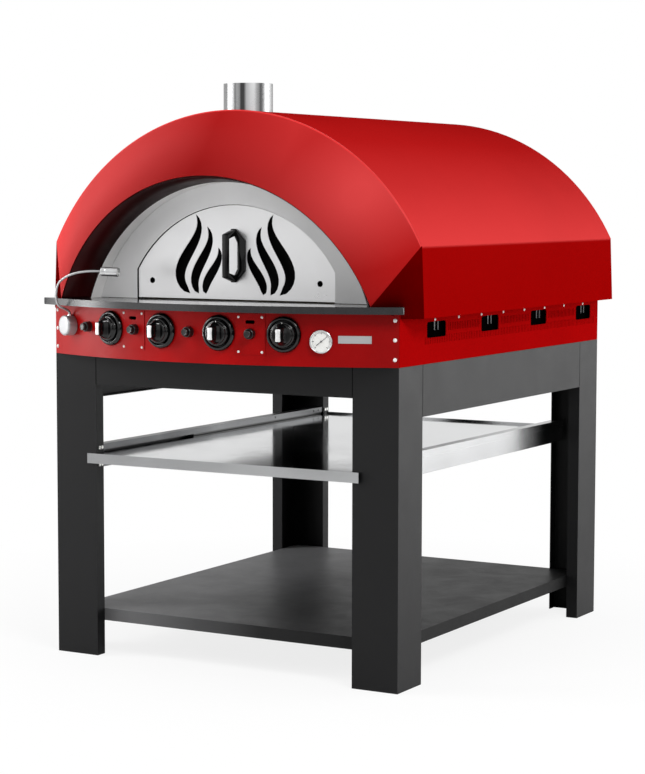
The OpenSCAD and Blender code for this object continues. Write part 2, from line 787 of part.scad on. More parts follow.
// Door face: a shallow pan with flame cut-outs and two draught holes
module door_front() {
    skin = 2;
    framed() color(steel) difference() {
        door_outline(0, door_z, door_y, door_y + door_t);
        door_outline(-skin, door_z + skin, door_y + skin, door_y + door_t + 1);
        translate([0, door_y, door_z + 13]) both_sides() for (f = flames) flame(f, 12);
        both_sides() translate([258, door_y - 5, door_z + 46]) rotate([-90, 0, 0]) cylinder(r = 8, h = 12, $fn = 48);
    }
}

module door_back() {
    m = -2 - gap;
    framed() color(gloss_black) door_outline(m, door_z - m, door_y + door_t - 3, door_y + door_t - 0.5);
}

// D-shaped pull: a grip bar on two slanting arms, with a bent foot plate to one side
module door_handle() {
    mid_z = door_z + 115;
    reach = 50;
    w = 16;
    bar = 14;
    outer = [[0, -70], [-reach, -56], [-reach, 56], [0, 70]];
    inner = [[1, -54], [-reach + bar, -44], [-reach + bar, 44], [1, 54]];
    foot = [[-w / 2, 70], [w / 2 - 2, 70], [34, 40], [34, -40], [w / 2 - 2, -70], [-w / 2, -70],
        [-w / 2, -54], [1, -54], [12, -34], [12, 34], [1, 54], [-w / 2, 54]];
    framed() color(gloss_black) translate([0, door_y, mid_z]) {
        difference() {
            rotate([0, 0, 90]) rotate([90, 0, 0]) linear_extrude(w, center = true)
                offset(r = 4, $fn = 24) offset(delta = -4) polygon(outer);
            rotate([0, 0, 90]) rotate([90, 0, 0]) linear_extrude(w + 2, center = true) polygon(inner);
        }
        rotate([90, 0, 0]) linear_extrude(6) polygon(foot);
    }
}

// ---------- gas train ----------

// Cross pipe behind the panel and a side pipe to the threaded inlet at the rear
module gas_rail() {
    x0 = knob_x[0] - 30;
    framed() color(brass) difference() {
        union() {
            translate([x0, gas_y, gas_z]) rotate([0, 90, 0]) cylinder(r = gas_r, h = gas_side_x - x0, $fn = 48);
            translate([gas_side_x, gas_y, gas_z]) sphere(r = gas_r, $fn = 48);
            translate([gas_side_x, gas_y, gas_z]) rotate([-90, 0, 0]) cylinder(r = gas_r, h = hy + 4 - gas_y, $fn = 48);
            translate([gas_side_x, hy, gas_z]) rotate([-90, 0, 0]) cylinder(r = inlet_r, h = inlet_end - hy, $fn = 48);
        }
        translate([gas_side_x, hy - 30, gas_z]) rotate([-90, 0, 0]) cylinder(r = 7.5, h = 80, $fn = 48);
    }
}

// Tap bodies behind the panel, each with a tail to the cross pipe
module gas_valves() {
    framed() color(brass) for (x = knob_x) {
        tilt = asin(x / panel_r);
        tail = (gas_y - gas_r - gap - panel_cy) / cos(tilt) + panel_r - 6 * abs(tan(tilt));
        difference() {
            union() {
                on_panel(x, gas_z + 2, -58) cylinder(r = 16, h = 55, $fn = 48);
                on_panel(x, gas_z + 2, -tail) cylinder(r = 6, h = tail - 57, $fn = 32);
            }
            on_panel(x, knob_z, -40) cylinder(r = 5.08, h = 50, $fn = 48);
        }
    }
}

// Two tube burners under the cooking floor, each with a row of ports
module floor_burners() {
    z = stand_h + 60;
    framed() color(steel) both_sides() translate([190, 0, z]) difference() {
        union() {
            rotate([-90, 0, 0]) translate([0, 0, -480]) cylinder(r = 19, h = 960, $fn = 48);
            for (y = [-400, 400]) translate([0, y, -z + stand_h + sheet + gap])
                cylinder(r = 8, h = z - stand_h - 16, $fn = 32);
        }
        rotate([-90, 0, 0]) translate([0, 0, -477]) cylinder(r = 17, h = 954, $fn = 48);
        for (y = [-440 : 40 : 440]) translate([0, y, 0]) cylinder(r = 2.5, h = 30, $fn = 24);
    }
}

// A flame tube along each side of the cooking floor
module flame_burners() {
    z = deck_z + sheet + tile_t + 17;
    framed() color(steel) both_sides() translate([330, 0, z]) difference() {
        union() {
            rotate([-90, 0, 0]) translate([0, 0, -430]) cylinder(r = 13, h = 860, $fn = 48);
            for (y = [-360, 360]) translate([0, y, -16.7]) cylinder(r = 5, h = 10, $fn = 32);
        }
        rotate([-90, 0, 0]) translate([0, 0, -427]) cylinder(r = 11, h = 854, $fn = 48);
        for (y = [-400 : 40 : 400]) translate([0, y, 0]) rotate([0, -45, 0]) cylinder(r = 2, h = 20, $fn = 24);
    }
}

// ---------- controls ----------

module knob_bezels() {
    framed() color(gloss_black) for (x = knob_x) on_panel(x, knob_z, 0.2) rotate_extrude($fn = round_fn)
        polygon([[7, 0], [bezel_r, 0], [bezel_r, 4], [bezel_r - 4, 11], [bezel_r - 8, 12], [bezel_r - 11, 9],
            [bezel_r - 11, 3], [7, 3]]);
}

// A gas knob: stem, stepped skirt and a tapered grip bar
module knob(i) {
    grip_l = 33;
    base_l = 52;
    framed() color(gloss_black) on_panel(knob_x[i], knob_z) {
        translate([0, 0, -36]) cylinder(r = 5, h = 44, $fn = 48);
        rotate_extrude($fn = round_fn)
            polygon([[0, 6], [33, 6], [33.5, 8], [33.5, 14], [31, 17], [28, 18], [27, 22], [0, 22]]);
        hull() {
            translate([0, 0, 21]) pill(22, base_l, 8, 1);
            translate([0, 0, knob_len - 1]) pill(grip_w, grip_l, 5, 1);
        }
    }
}

module knob_1() { knob(0); }
module knob_2() { knob(1); }
module knob_3() { knob(2); }
module knob_4() { knob(3); }

module button_collars() {
    framed() color(gloss_black) for (i = [0 : 3]) on_panel(button_x[i], knob_z) difference() {
        union() {
            translate([0, 0, 0.2]) cylinder(r = 13, h = 15, $fn = 64);
            translate([0, 0, 15.2]) cylinder(r1 = 13, r2 = 12, h = 1.5, $fn = 64);
            translate([0, 0, -26]) cylinder(r = 8, h = 26.5, $fn = 48);
        }
        translate([0, 0, 2]) cylinder(r = 10.1, h = 30, $fn = 64);
        translate([0, 0, -22]) cylinder(r = 5.08, h = 40, $fn = 48);
    }
}

// A push button: domed cap and guide stem
module button(i) {
    framed() color(gloss_black) on_panel(button_x[i], knob_z) {
        translate([0, 0, 2 + button_travel + 0.5]) cylinder(r = 10, h = 16 - button_travel, $fn = 64);
        translate([0, 0, 18.5]) cylinder(r1 = 10, r2 = 9, h = 6.5, $fn = 64);
        translate([0, 0, -14]) cylinder(r = 5, h = 22, $fn = 48);
    }
}

module button_1() { button(0); }
module button_2() { button(1); }
module button_3() { button(2); }
module button_4() { button(3); }

// Case with its rim, dial plate and capillary gland
module thermometer_case() {
    framed() color(polished) on_panel(thermo_x, thermo_z) difference() {
        union() {
            translate([0, 0, 0.2]) cylinder(r = thermo_r, h = 7, $fn = round_fn);
            translate([0, 0, 7.2]) cylinder(r1 = thermo_r, r2 = thermo_r - 1.5, h = 1.5, $fn = round_fn);
            translate([0, 0, -45]) cylinder(r = 4, h = 46, $fn = 32);
        }
        translate([0, 0, 3.2]) cylinder(r = thermo_r - 3, h = 10, $fn = round_fn);
        translate([0, 0, 1]) cylinder(r = 1.05, h = 10, $fn = 32);
    }
}

// Pointer on its arbor, resting a little past two thirds of the scale
module thermometer_needle() {
    framed() color(gloss_black) on_panel(thermo_x, thermo_z) rotate([0, 0, 39]) {
        translate([0, 0, 1.2]) cylinder(r = 1, h = 3.6, $fn = 32);
        translate([0, 0, 4]) cylinder(r = 2.5, h = 0.8, $fn = 32);
        translate([0, 0, 4.1]) linear_extrude(0.6) polygon([[-16, -0.9], [20, -0.4], [21, 0], [20, 0.4], [-16, 0.9]]);
    }
}

module thermometer_glass() {
    framed() color([0.9, 0.95, 1, 0.3]) on_panel(thermo_x, thermo_z, 6.2)
        cylinder(r = thermo_r - 3, h = 1.2, $fn = round_fn);
}

// ---------- lamp ----------

module lamp_base() {
    tilt = asin(lamp_x / panel_r);
    framed() color(white) difference() {
        union() {
            on_panel(lamp_x, knob_z, 0.2) {
                cylinder(r = lamp_r, h = lamp_len - 3, $fn = round_fn);
                translate([0, 0, lamp_len - 3]) cylinder(r1 = lamp_r, r2 = lamp_r - 2.5, h = 2.5, $fn = round_fn);
            }
            translate([neck_root[0], neck_root[1], neck_root[2] - 12]) cylinder(r = 6, h = 12, $fn = 48);
        }
        translate([neck_root[0], neck_root[1], neck_root[2] - 10]) cylinder(r = 4.06, h = 20, $fn = 48);
    }
}

// Direction of the neck's route at point i
function along(p, i) = let (d = p[min(i + 1, len(p) - 1)] - p[max(i - 1, 0)]) d / norm(d);
// A ring of points round the route at point i
function ring(p, i, r, n) = let (
        t = along(p, i),
        u0 = cross([0, 1, 0.2], t),
        u = u0 / norm(u0),
        v = cross(t, u)
    ) [for (k = [0 : n - 1]) p[i] + r * (cos(360 * k / n) * u + sin(360 * k / n) * v)];

module tube_along(p, r, n) {
    m = len(p);
    pts = [for (i = [0 : m - 1]) each ring(p, i, r, n)];
    sides = [for (i = [0 : m - 2], k = [0 : n - 1]) let (
            a = i * n + k,
            b = i * n + (k + 1) % n
        ) each [[a, a + n, b], [b, a + n, b + n]]];
    caps = [[for (k = [0 : n - 1]) k], [for (k = [n - 1 : -1 : 0]) (m - 1) * n + k]];
    polyhedron(points = pts, faces = concat(sides, caps));
}

// Goose neck with the pin that turns in the base's socket
module lamp_neck() {
    framed() color(white) {
        tube_along(neck_route, neck_r, 12);
        translate([neck_root[0], neck_root[1], neck_root[2] - 9]) cylinder(r = 4, h = 10, $fn = 48);
    }
}

// Cylindrical lamp head with a recessed lens end
module lamp_head() {
    framed() color(white) translate(neck_end) rotate([0, 0, head_turn]) rotate([0, 92, 0]) difference() {
        union() {
            cylinder(r1 = head_r - 2, r2 = head_r, h = 3, $fn = 64);
            translate([0, 0, 3]) cylinder(r = head_r, h = head_len - 3, $fn = 64);
        }
        translate([0, 0, head_len - 8]) cylinder(r = head_r - 1.5, h = 10, $fn = 64);
    }
}

leg_front_left();
leg_front_right();
leg_rear_left();
leg_rear_right();
apron_front();
apron_rear();
apron_left();
apron_right();
bottom_shelf();
shelf_brackets();
stand_bolts();
rail_left();
rail_right();
rail_bolts();
tray();
tray_runners();
base_floor();
base_side_left();
base_side_right();
base_rear();
oven_deck();
control_panel();
service_hatches();
panel_screws();
name_plate();
worktop();
floor_tiles();
oven_vault();
insulation_blanket();
throat_liner();
door_surround();
mouth_lining();
hood_fascia();
hood_shell();
hood_rear();
hood_screws();
flue_pipe();
door_front();
door_back();
door_handle();
gas_rail();
gas_valves();
floor_burners();
flame_burners();
knob_bezels();
knob_1();
knob_2();
knob_3();
knob_4();
button_collars();
button_1();
button_2();
button_3();
button_4();
thermometer_case();
thermometer_needle();
thermometer_glass();
lamp_base();
lamp_neck();
lamp_head();
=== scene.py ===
import bpy
import bmesh
import math
from mathutils import Matrix, Vector


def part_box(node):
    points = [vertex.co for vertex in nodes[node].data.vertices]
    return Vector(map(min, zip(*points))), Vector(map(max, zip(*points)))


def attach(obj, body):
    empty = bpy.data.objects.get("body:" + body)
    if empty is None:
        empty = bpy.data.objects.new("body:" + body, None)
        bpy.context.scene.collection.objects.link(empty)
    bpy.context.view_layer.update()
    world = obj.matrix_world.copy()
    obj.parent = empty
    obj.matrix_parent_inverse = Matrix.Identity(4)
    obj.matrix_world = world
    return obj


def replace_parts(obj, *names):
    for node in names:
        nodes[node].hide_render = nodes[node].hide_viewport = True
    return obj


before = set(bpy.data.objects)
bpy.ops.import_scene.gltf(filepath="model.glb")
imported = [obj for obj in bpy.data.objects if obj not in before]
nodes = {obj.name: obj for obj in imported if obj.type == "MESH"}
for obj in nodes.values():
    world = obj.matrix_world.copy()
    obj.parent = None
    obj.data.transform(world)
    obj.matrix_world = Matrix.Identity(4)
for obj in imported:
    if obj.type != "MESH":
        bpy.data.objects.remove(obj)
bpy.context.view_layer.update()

MM = 0.001
PI = math.pi

# ---------------------------------------------------------------- dimensions
# The same figures as part.scad, in metres. OY is how far the row's origin lies from
# the stand's middle, so that a point written in the stand's own frame moves by OY.
HX, HY = 0.525, 0.642
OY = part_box("leg_front_left")[0].y + HY
BASE_TOP = 0.956
WORKTOP_TOP = 0.974
# The bowed control panel's radius and centre, seen from above
PANEL_R = 1.2
PANEL_CY = -HY + math.sqrt(PANEL_R ** 2 - HX ** 2)
KNOB_Z = 0.902
KNOB_PITCH = 0.177
KNOB_X = [i * KNOB_PITCH - 0.0155 for i in (-1.5, -0.5, 0.5, 1.5)]
BUTTON_X = [x - KNOB_PITCH / 2 for x in KNOB_X]
THERMOMETER_X, THERMOMETER_Z = 0.344, 0.886
LAMP_X = -0.444
# The front faces of the steel surround and of the door, and the door's thickness
SURROUND_Y = -(HY - 0.070)
DOOR_Y = SURROUND_Y + 0.004
DOOR_T = 0.020


def P(x, y, z):
    """A point of the stand's frame, in metres, in the row's frame."""
    return Vector((x, y + OY, z))


def panel_matrix(x, z):
    """+Z along the bowed panel's outward normal, +Y up, at a point of the panel."""
    t = math.asin(x / PANEL_R)
    normal = Vector((math.sin(t), -math.cos(t), 0))
    up = Vector((0, 0, 1))
    right = up.cross(normal)
    at = P(0, PANEL_CY, z) + PANEL_R * normal
    return Matrix((
        (right.x, up.x, normal.x, at.x),
        (right.y, up.y, normal.y, at.y),
        (right.z, up.z, normal.z, at.z),
        (0, 0, 0, 1),
    ))


# ---------------------------------------------------------------- shader nodes


def node(nt, kind, **values):
    n = nt.nodes.new(kind)
    for name, value in values.items():
        setattr(n, name, value)
    return n


def noise(nt, coords, scale, stretch=(1, 1, 1), detail=3.0, rough=0.55, distort=0.0):
    m = node(nt, "ShaderNodeMapping")
    m.inputs["Scale"].default_value = stretch
    nt.links.new(coords, m.inputs["Vector"])
    n = node(nt, "ShaderNodeTexNoise")
    n.inputs["Scale"].default_value = scale
    n.inputs["Detail"].default_value = detail
    n.inputs["Roughness"].default_value = rough
    n.inputs["Distortion"].default_value = distort
    nt.links.new(m.outputs["Vector"], n.inputs["Vector"])
    return n.outputs["Fac"]


def ramp(nt, fac, stops):
    r = node(nt, "ShaderNodeValToRGB")
    elements = r.color_ramp.elements
    while len(elements) < len(stops):
        elements.new(0.5)
    for element, (position, color) in zip(elements, stops):
        element.position = position
        element.color = (*color, 1)
    nt.links.new(fac, r.inputs["Fac"])
    return r.outputs["Color"]


def greys(*stops):
    """A ramp's stops from pairs of a position and a grey value."""
    return [(position, (value, value, value)) for position, value in stops]


def map_range(nt, value, a, b, c, d):
    n = node(nt, "ShaderNodeMapRange")
    for socket, number in zip(("From Min", "From Max", "To Min", "To Max"), (a, b, c, d)):
        n.inputs[socket].default_value = number
    nt.links.new(value, n.inputs["Value"])
    return n.outputs["Result"]


def multiply(nt, a, b):
    """The product of two colours."""
    mix = node(nt, "ShaderNodeMix", data_type="RGBA", blend_type="MULTIPLY")
    mix.inputs[0].default_value = 1.0
    nt.links.new(a, mix.inputs[6])
    nt.links.new(b, mix.inputs[7])
    return mix.outputs[2]


def linear(value):
    """The linear value of an sRGB value from 0 to 255."""
    c = value / 255
    return c / 12.92 if c <= 0.04045 else ((c + 0.055) / 1.055) ** 2.4


def lin(r, g, b):
    return (linear(r), linear(g), linear(b))


def shade(color, k):
    return tuple(min(1.0, c * k) for c in color)


def surface(name, color, rough=(0.3, 0.4), metal=0.0, patch=(0.9, 1.08), patch_scale=3.0, grain=900.0,
            grain_stretch=(1, 1, 1), bump=0.1, bump_dist=0.0004, specular=0.5, smudge=9.0, fleck=0.0):
    """A painted, plated or moulded finish: tone patches, smudged gloss and a fine grain in the bump."""
    m = bpy.data.materials.new(name)
    m.use_nodes = True
    nt = m.node_tree
    b = nt.nodes["Principled BSDF"]
    at = node(nt, "ShaderNodeTexCoord").outputs["Object"]
    patches = noise(nt, at, patch_scale, detail=4.0)
    base = ramp(nt, patches, [(0.3, shade(color, patch[0])), (0.7, shade(color, patch[1]))])
    fine = noise(nt, at, grain, grain_stretch, detail=2.0)
    if fleck:
        base = multiply(nt, base, ramp(nt, fine, greys((0.3, 1 - fleck), (0.7, 1))))
    nt.links.new(base, b.inputs["Base Color"])
    wear = noise(nt, at, smudge, detail=6.0, rough=0.65, distort=0.4)
    nt.links.new(map_range(nt, wear, 0.35, 0.65, rough[0], rough[1]), b.inputs["Roughness"])
    if bump:
        relief = node(nt, "ShaderNodeBump")
        relief.inputs["Strength"].default_value = bump
        relief.inputs["Distance"].default_value = bump_dist
        nt.links.new(fine, relief.inputs["Height"])
        nt.links.new(relief.outputs["Normal"], b.inputs["Normal"])
    b.inputs["Metallic"].default_value = metal
    b.inputs["Specular IOR Level"].default_value = specular
    return m


def split(m, output, axis):
    """One component of a texture coordinate output."""
    nt = m.node_tree
    xyz = node(nt, "ShaderNodeSeparateXYZ")
    nt.links.new(node(nt, "ShaderNodeTexCoord").outputs[output], xyz.inputs[0])
    return xyz.outputs[axis]


def along(m, axis, low, high):
    """How far a point lies from low to high along an axis of the row's frame, from 0 to 1."""
    return map_range(m.node_tree, split(m, "Object", axis), low, high, 0, 1)


def tint(m, color):
    """Multiplies a material's colour by another."""
    nt = m.node_tree
    base = nt.nodes["Principled BSDF"].inputs["Base Color"]
    nt.links.new(multiply(nt, base.links[0].from_socket, color), base)
    return m


def tone(m, value, stops):
    """Multiplies a material's colour by a tone looked up from a value."""
    return tint(m, ramp(m.node_tree, value, stops))


# ---------------------------------------------------------------- materials

M = {}


# Red paints


def painted_fascia_light(m):
    """Painted light and shade: paler at the fascia's flanks and deeper at its crown, with a painted highlight
    as a pale spot high on its right flank.
    """
    nt = m.node_tree
    flank_painted_light = ramp(nt, along(m, "X", -0.56, 0.56), [
        (0.0, (1, 1, 1)), (0.10, (0.76, 0.96, 0.96)), (0.26, (0.66, 0.66, 0.66)), (0.48, (0.44, 0.12, 0.12)),
        (0.68, (0.62, 0.40, 0.40)), (0.86, (0.54, 0.18, 0.18)), (1.0, (0.56, 0.16, 0.16))])
    flat = node(nt, "ShaderNodeMapping")
    flat.inputs["Scale"].default_value = (1, 0, 1)
    nt.links.new(node(nt, "ShaderNodeTexCoord").outputs["Object"], flat.inputs["Vector"])
    distance = node(nt, "ShaderNodeVectorMath", operation="DISTANCE")
    distance.inputs[1].default_value = (0.40, 0.0, 1.25)
    nt.links.new(flat.outputs["Vector"], distance.inputs[0])
    painted_highlight_spot = node(nt, "ShaderNodeMix", data_type="RGBA")
    painted_highlight_spot.inputs[7].default_value = (0.84, 0.94, 0.94, 1)
    nt.links.new(map_range(nt, distance.outputs["Value"], 0.03, 0.20, 1, 0), painted_highlight_spot.inputs[0])
    nt.links.new(flank_painted_light, painted_highlight_spot.inputs[6])
    return tint(m, painted_highlight_spot.outputs[2])


M["red"] = painted_fascia_light(surface(
    "red_paint", (0.66, 0.046, 0.046), rough=(0.42, 0.50), patch=(0.95, 1.05), patch_scale=2.0, grain=1400,
    bump=0.12, bump_dist=0.0002, specular=0.03, fleck=0.06))
M["red_hood"] = surface(
    "red_paint_hood_painted_light", lin(214, 58, 58), rough=(0.46, 0.54), patch=(0.96, 1.04), patch_scale=2.0, grain=1400,
    bump=0.12, bump_dist=0.0002, specular=0.0, fleck=0.06)
# Painted light and shade by height: the hood's sides below the springing are darkened as painted shade, and a
# pale band just above the springing, fading towards the crown, is a painted highlight.
tone(M["red_hood"], along(M["red_hood"], "Z", 0.94, 1.47), [
    (0.0, (0.37, 0.02, 0.02)), (0.335, (0.37, 0.03, 0.03)), (0.345, (0.76, 0.80, 0.80)),
    (0.62, (0.58, 0.42, 0.42)), (0.85, (0.47, 0.15, 0.15)), (1.0, (0.42, 0.10, 0.10))])
# The rounded fold along the arch gets a paler red of its own: a painted highlight.
M["red_fold"] = surface(
    "red_paint_fold_painted_highlight", lin(198, 36, 36), rough=(0.34, 0.44), patch=(0.95, 1.05), patch_scale=8.0, grain=1400,
    bump=0.1, bump_dist=0.0002, specular=0.2)
# The cheeks at the hood's feet get a much darker red: painted shade.
M["red_cheek"] = surface(
    "red_paint_cheek_painted_shade", lin(92, 0, 0), rough=(0.45, 0.55), patch=(0.85, 1.08), patch_scale=9.0, grain=1400,
    bump=0.12, bump_dist=0.0002, specular=0.0, fleck=0.06)
M["red_base"] = surface(
    "red_paint_base", lin(148, 5, 6), rough=(0.40, 0.48), patch=(0.94, 1.05), patch_scale=4.0, grain=1400,
    bump=0.15, bump_dist=0.0002, specular=0.0, fleck=0.08)
M["red_panel"] = surface(
    "red_paint_panel_painted_shade", lin(168, 4, 6), rough=(0.30, 0.38), patch=(0.9, 1.06), patch_scale=7.0, grain=1500,
    bump=0.25, bump_dist=0.0003, specular=0.1, fleck=0.14)
# Painted shade: the panel's red darkens towards its right end.
tone(M["red_panel"], along(M["red_panel"], "X", -0.55, 0.55),
     [(0.0, (1, 1, 1)), (0.5, (0.92, 0.92, 0.92)), (1.0, (0.66, 0.7, 0.7))])
# The mouth lining gets a very dark copy of the red paint: painted shade inside the mouth.
M["red_dark"] = surface(
    "red_paint_lining_painted_shade", lin(44, 1, 2), rough=(0.42, 0.6), patch=(0.5, 1.25), patch_scale=6.0,
    grain=1200, bump=0.15, specular=0.12)

# Black coats and plastics
M["stand"] = surface(
    "black_powder_coat", (0.0036, 0.0036, 0.004), rough=(0.42, 0.47), patch=(0.9, 1.08), grain=2200,
    bump=0.3, bump_dist=0.0003, specular=0.2, fleck=0.2)
# The shelf's coat is much paler than the stand's and darkens from left to right: a painted sheen, strongest
# at the left end.
M["stand_shelf"] = surface(
    "black_powder_coat_shelf_painted_sheen", (0.14, 0.14, 0.143), rough=(0.38, 0.46), patch=(0.88, 1.1), grain=2000,
    bump=0.25, bump_dist=0.0003, specular=0.08, fleck=0.15)
tone(M["stand_shelf"], along(M["stand_shelf"], "X", -0.5, 0.5),
     greys((0.0, 1), (0.25, 0.85), (0.4, 0.5), (0.6, 0.12), (1.0, 0.06)))
# Matt black for the plates behind the side ports and the strips in the apron seams: painted shade.
M["black_painted_shade"] = surface(
    "black_shield_painted_shade", (0.0015, 0.0015, 0.0015), rough=(0.6, 0.8), patch=(0.7, 1.3), patch_scale=20,
    grain=900, bump=0.1, specular=0.0)
M["bezel"] = surface(
    "black_gloss_bezel", (0.0012, 0.0012, 0.0013), rough=(0.04, 0.07), patch=(0.8, 1.2), grain=900,
    bump=0.02, bump_dist=0.0001, specular=0.45)
M["black"] = surface(
    "black_gloss_plastic", (0.002, 0.002, 0.0022), rough=(0.06, 0.12), patch=(0.8, 1.2), grain=900,
    bump=0.03, bump_dist=0.0001, specular=0.42)
M["black_matt"] = surface(
    "black_matt_plastic", (0.004, 0.004, 0.0042), rough=(0.28, 0.38), patch=(0.8, 1.2), grain=1600,
    bump=0.2, bump_dist=0.0002)
M["black_handle"] = surface(
    "black_enamelled_steel", (0.0015, 0.0015, 0.0016), rough=(0.07, 0.13), patch=(0.8, 1.2), grain=1100,
    bump=0.03, bump_dist=0.0002, specular=0.34)
# Blackened steel: soot on the door's back, and painted shade on the folded walls of the door's gap.
M["soot_and_shade"] = surface(
    "blackened_steel_and_painted_shade", (0.002, 0.002, 0.002), rough=(0.6, 0.8), patch=(0.6, 1.3), patch_scale=20, grain=700,
    bump=0.15, specular=0.05)

# Steels and other metals


def painted_reflection_bands(m):
    """Painted reflections: bright and dark bands that run up a rolled pipe, placed by the angle about its
    axis.
    """
    nt = m.node_tree
    at = node(nt, "ShaderNodeTexCoord").outputs["Object"]
    low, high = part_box("flue_pipe")
    centred = node(nt, "ShaderNodeMapping")
    centred.inputs["Location"].default_value = (-(low.x + high.x) / 2, -(low.y + high.y) / 2, 0)
    nt.links.new(at, centred.inputs["Vector"])
    xyz = node(nt, "ShaderNodeSeparateXYZ")
    nt.links.new(centred.outputs["Vector"], xyz.inputs[0])
    angle = node(nt, "ShaderNodeMath", operation="ARCTAN2")
    nt.links.new(xyz.outputs["Y"], angle.inputs[0])
    nt.links.new(xyz.outputs["X"], angle.inputs[1])
    uneven = node(nt, "ShaderNodeMath", operation="MULTIPLY_ADD")
    uneven.inputs[1].default_value = 0.10
    nt.links.new(noise(nt, at, 14.0, (1, 1, 0.15), detail=2.0), uneven.inputs[0])
    nt.links.new(angle.outputs[0], uneven.inputs[2])
    share = map_range(nt, uneven.outputs[0], -PI, PI, 0, 1)
    # Degrees and tone; the noise moves a band by about 3 degrees on average
    reflection_bands = [(-180, 0.45), (-156, 0.45), (-150, 0.2), (-144, 0.45), (-122, 0.40), (-118, 0.18), (-114, 0.42),
             (-96, 0.45), (-91, 0.15), (-86, 0.50), (-80, 0.5), (-76, 0.10), (-68, 0.10), (-62, 0.8),
             (-52, 1.0), (-44, 1.0), (-38, 0.6), (-34, 0.5), (-28, 0.15), (-22, 0.4), (0, 0.42), (18, 0.4),
             (24, 0.18), (30, 0.4), (84, 0.4), (92, 0.2), (100, 0.45), (177, 0.45)]
    return tone(m, share, greys(*[((degrees + 183) / 360, value) for degrees, value in reflection_bands]))


def painted_shade_on_uprights(m):
    """Painted shade: leaves the tray's top bright and darkens its upright faces, most so at its left end."""
    nt = m.node_tree
    upright_painted_shade = ramp(nt, along(m, "X", -0.42, 0.42), greys((0.0, 0.40), (0.5, 0.46), (1.0, 0.63)))
    faces = node(nt, "ShaderNodeMix", data_type="RGBA")
    faces.inputs[7].default_value = (1, 1, 1, 1)
    nt.links.new(map_range(nt, split(m, "Normal", "Z"), 0.2, 0.8, 0, 1), faces.inputs[0])
    nt.links.new(upright_painted_shade, faces.inputs[6])
    return tint(m, faces.outputs[2])


M["steel_ring"] = surface(
    "steel_brushed_surround_painted_light", (0.86, 0.86, 0.865), rough=(0.40, 0.50), metal=0.35, patch=(0.94, 1.05),
    grain=60, grain_stretch=(0.4, 30, 30), bump=0.05, bump_dist=0.0002, smudge=5)
# Painted light and shade: the surround's steel is pale and partly diffuse, bright from its left to its middle
# and darker towards its right.
tone(M["steel_ring"], along(M["steel_ring"], "X", -0.45, 0.45),
     greys((0.0, 0.90), (0.25, 1), (0.48, 1), (0.75, 0.52), (1.0, 0.44)))
M["steel_y"] = surface(
    "steel_brushed_along_y", (0.56, 0.565, 0.57), rough=(0.21, 0.26), metal=1.0, patch=(0.95, 1.04),
    grain=60, grain_stretch=(30, 0.4, 30), bump=0.05, bump_dist=0.0002, smudge=5)
# A dimmed copy of the brushed steel for the left rail: painted shade.
M["steel_y_dim"] = surface(
    "steel_brushed_rail_painted_shade", (0.13, 0.132, 0.135), rough=(0.28, 0.4), metal=1.0, patch=(0.8, 1.15),
    grain=60, grain_stretch=(30, 0.4, 30), bump=0.05, bump_dist=0.0002, smudge=5)
M["steel_dull"] = surface(
    "steel_mill_finish", (0.30, 0.30, 0.30), rough=(0.4, 0.55), metal=1.0, patch=(0.8, 1.1), patch_scale=10,
    grain=400, bump=0.08, bump_dist=0.0002)
M["steel_v"] = painted_reflection_bands(surface(
    "steel_polished_pipe", (0.72, 0.725, 0.73), rough=(0.24, 0.34), metal=1.0, grain=60,
    grain_stretch=(30, 30, 0.4), bump=0.04, bump_dist=0.0002, smudge=6))
# The throat liner gets a near-white, mostly diffuse steel so that it stays bright inside the mouth: painted
# light.
M["liner"] = surface(
    "steel_liner_painted_light", (0.93, 0.92, 0.91), rough=(0.36, 0.46), metal=0.1, patch=(0.9, 1.06), patch_scale=7,
    grain=60, grain_stretch=(20, 0.6, 20), bump=0.05, bump_dist=0.0002, smudge=5)
M["door"] = surface(
    "steel_door_skin", (0.60, 0.60, 0.605), rough=(0.27, 0.35), metal=1.0, patch=(0.95, 1.04), patch_scale=4,
    grain=60, grain_stretch=(0.4, 30, 30), bump=0.04, bump_dist=0.0002, smudge=4)
M["mirror"] = painted_shade_on_uprights(surface(
    "steel_polished_sheet", (0.80, 0.81, 0.82), rough=(0.07, 0.14), metal=1.0, patch=(0.92, 1.05), grain=40,
    grain_stretch=(8, 0.5, 8), bump=0.02, bump_dist=0.0001, smudge=6))
M["plate"] = surface(
    "steel_plate", (0.52, 0.52, 0.525), rough=(0.3, 0.42), metal=1.0, patch=(0.95, 1.05), grain=60,
    grain_stretch=(0.4, 30, 30), bump=0.06, bump_dist=0.0002)
M["chrome"] = surface(
    "chromed_steel", (0.72, 0.73, 0.74), rough=(0.08, 0.16), metal=1.0, patch=(0.92, 1.03), grain=800,
    bump=0.03, bump_dist=0.0001)
M["satin"] = surface(
    "satin_steel", (0.62, 0.625, 0.63), rough=(0.24, 0.36), metal=1.0, patch=(0.9, 1.05), patch_scale=30,
    grain=900, bump=0.05, bump_dist=0.0001)
M["lamp_grey"] = surface(
    "lamp_can_grey", (0.36, 0.362, 0.37), rough=(0.30, 0.40), metal=0.45, patch=(0.92, 1.05), patch_scale=30,
    grain=900, bump=0.05, bump_dist=0.0001)
M["neck_grey"] = surface(
    "goose_neck_steel", (0.40, 0.402, 0.41), rough=(0.26, 0.38), metal=0.8, patch=(0.9, 1.06), patch_scale=30,
    grain=900, bump=0.05, bump_dist=0.0001)
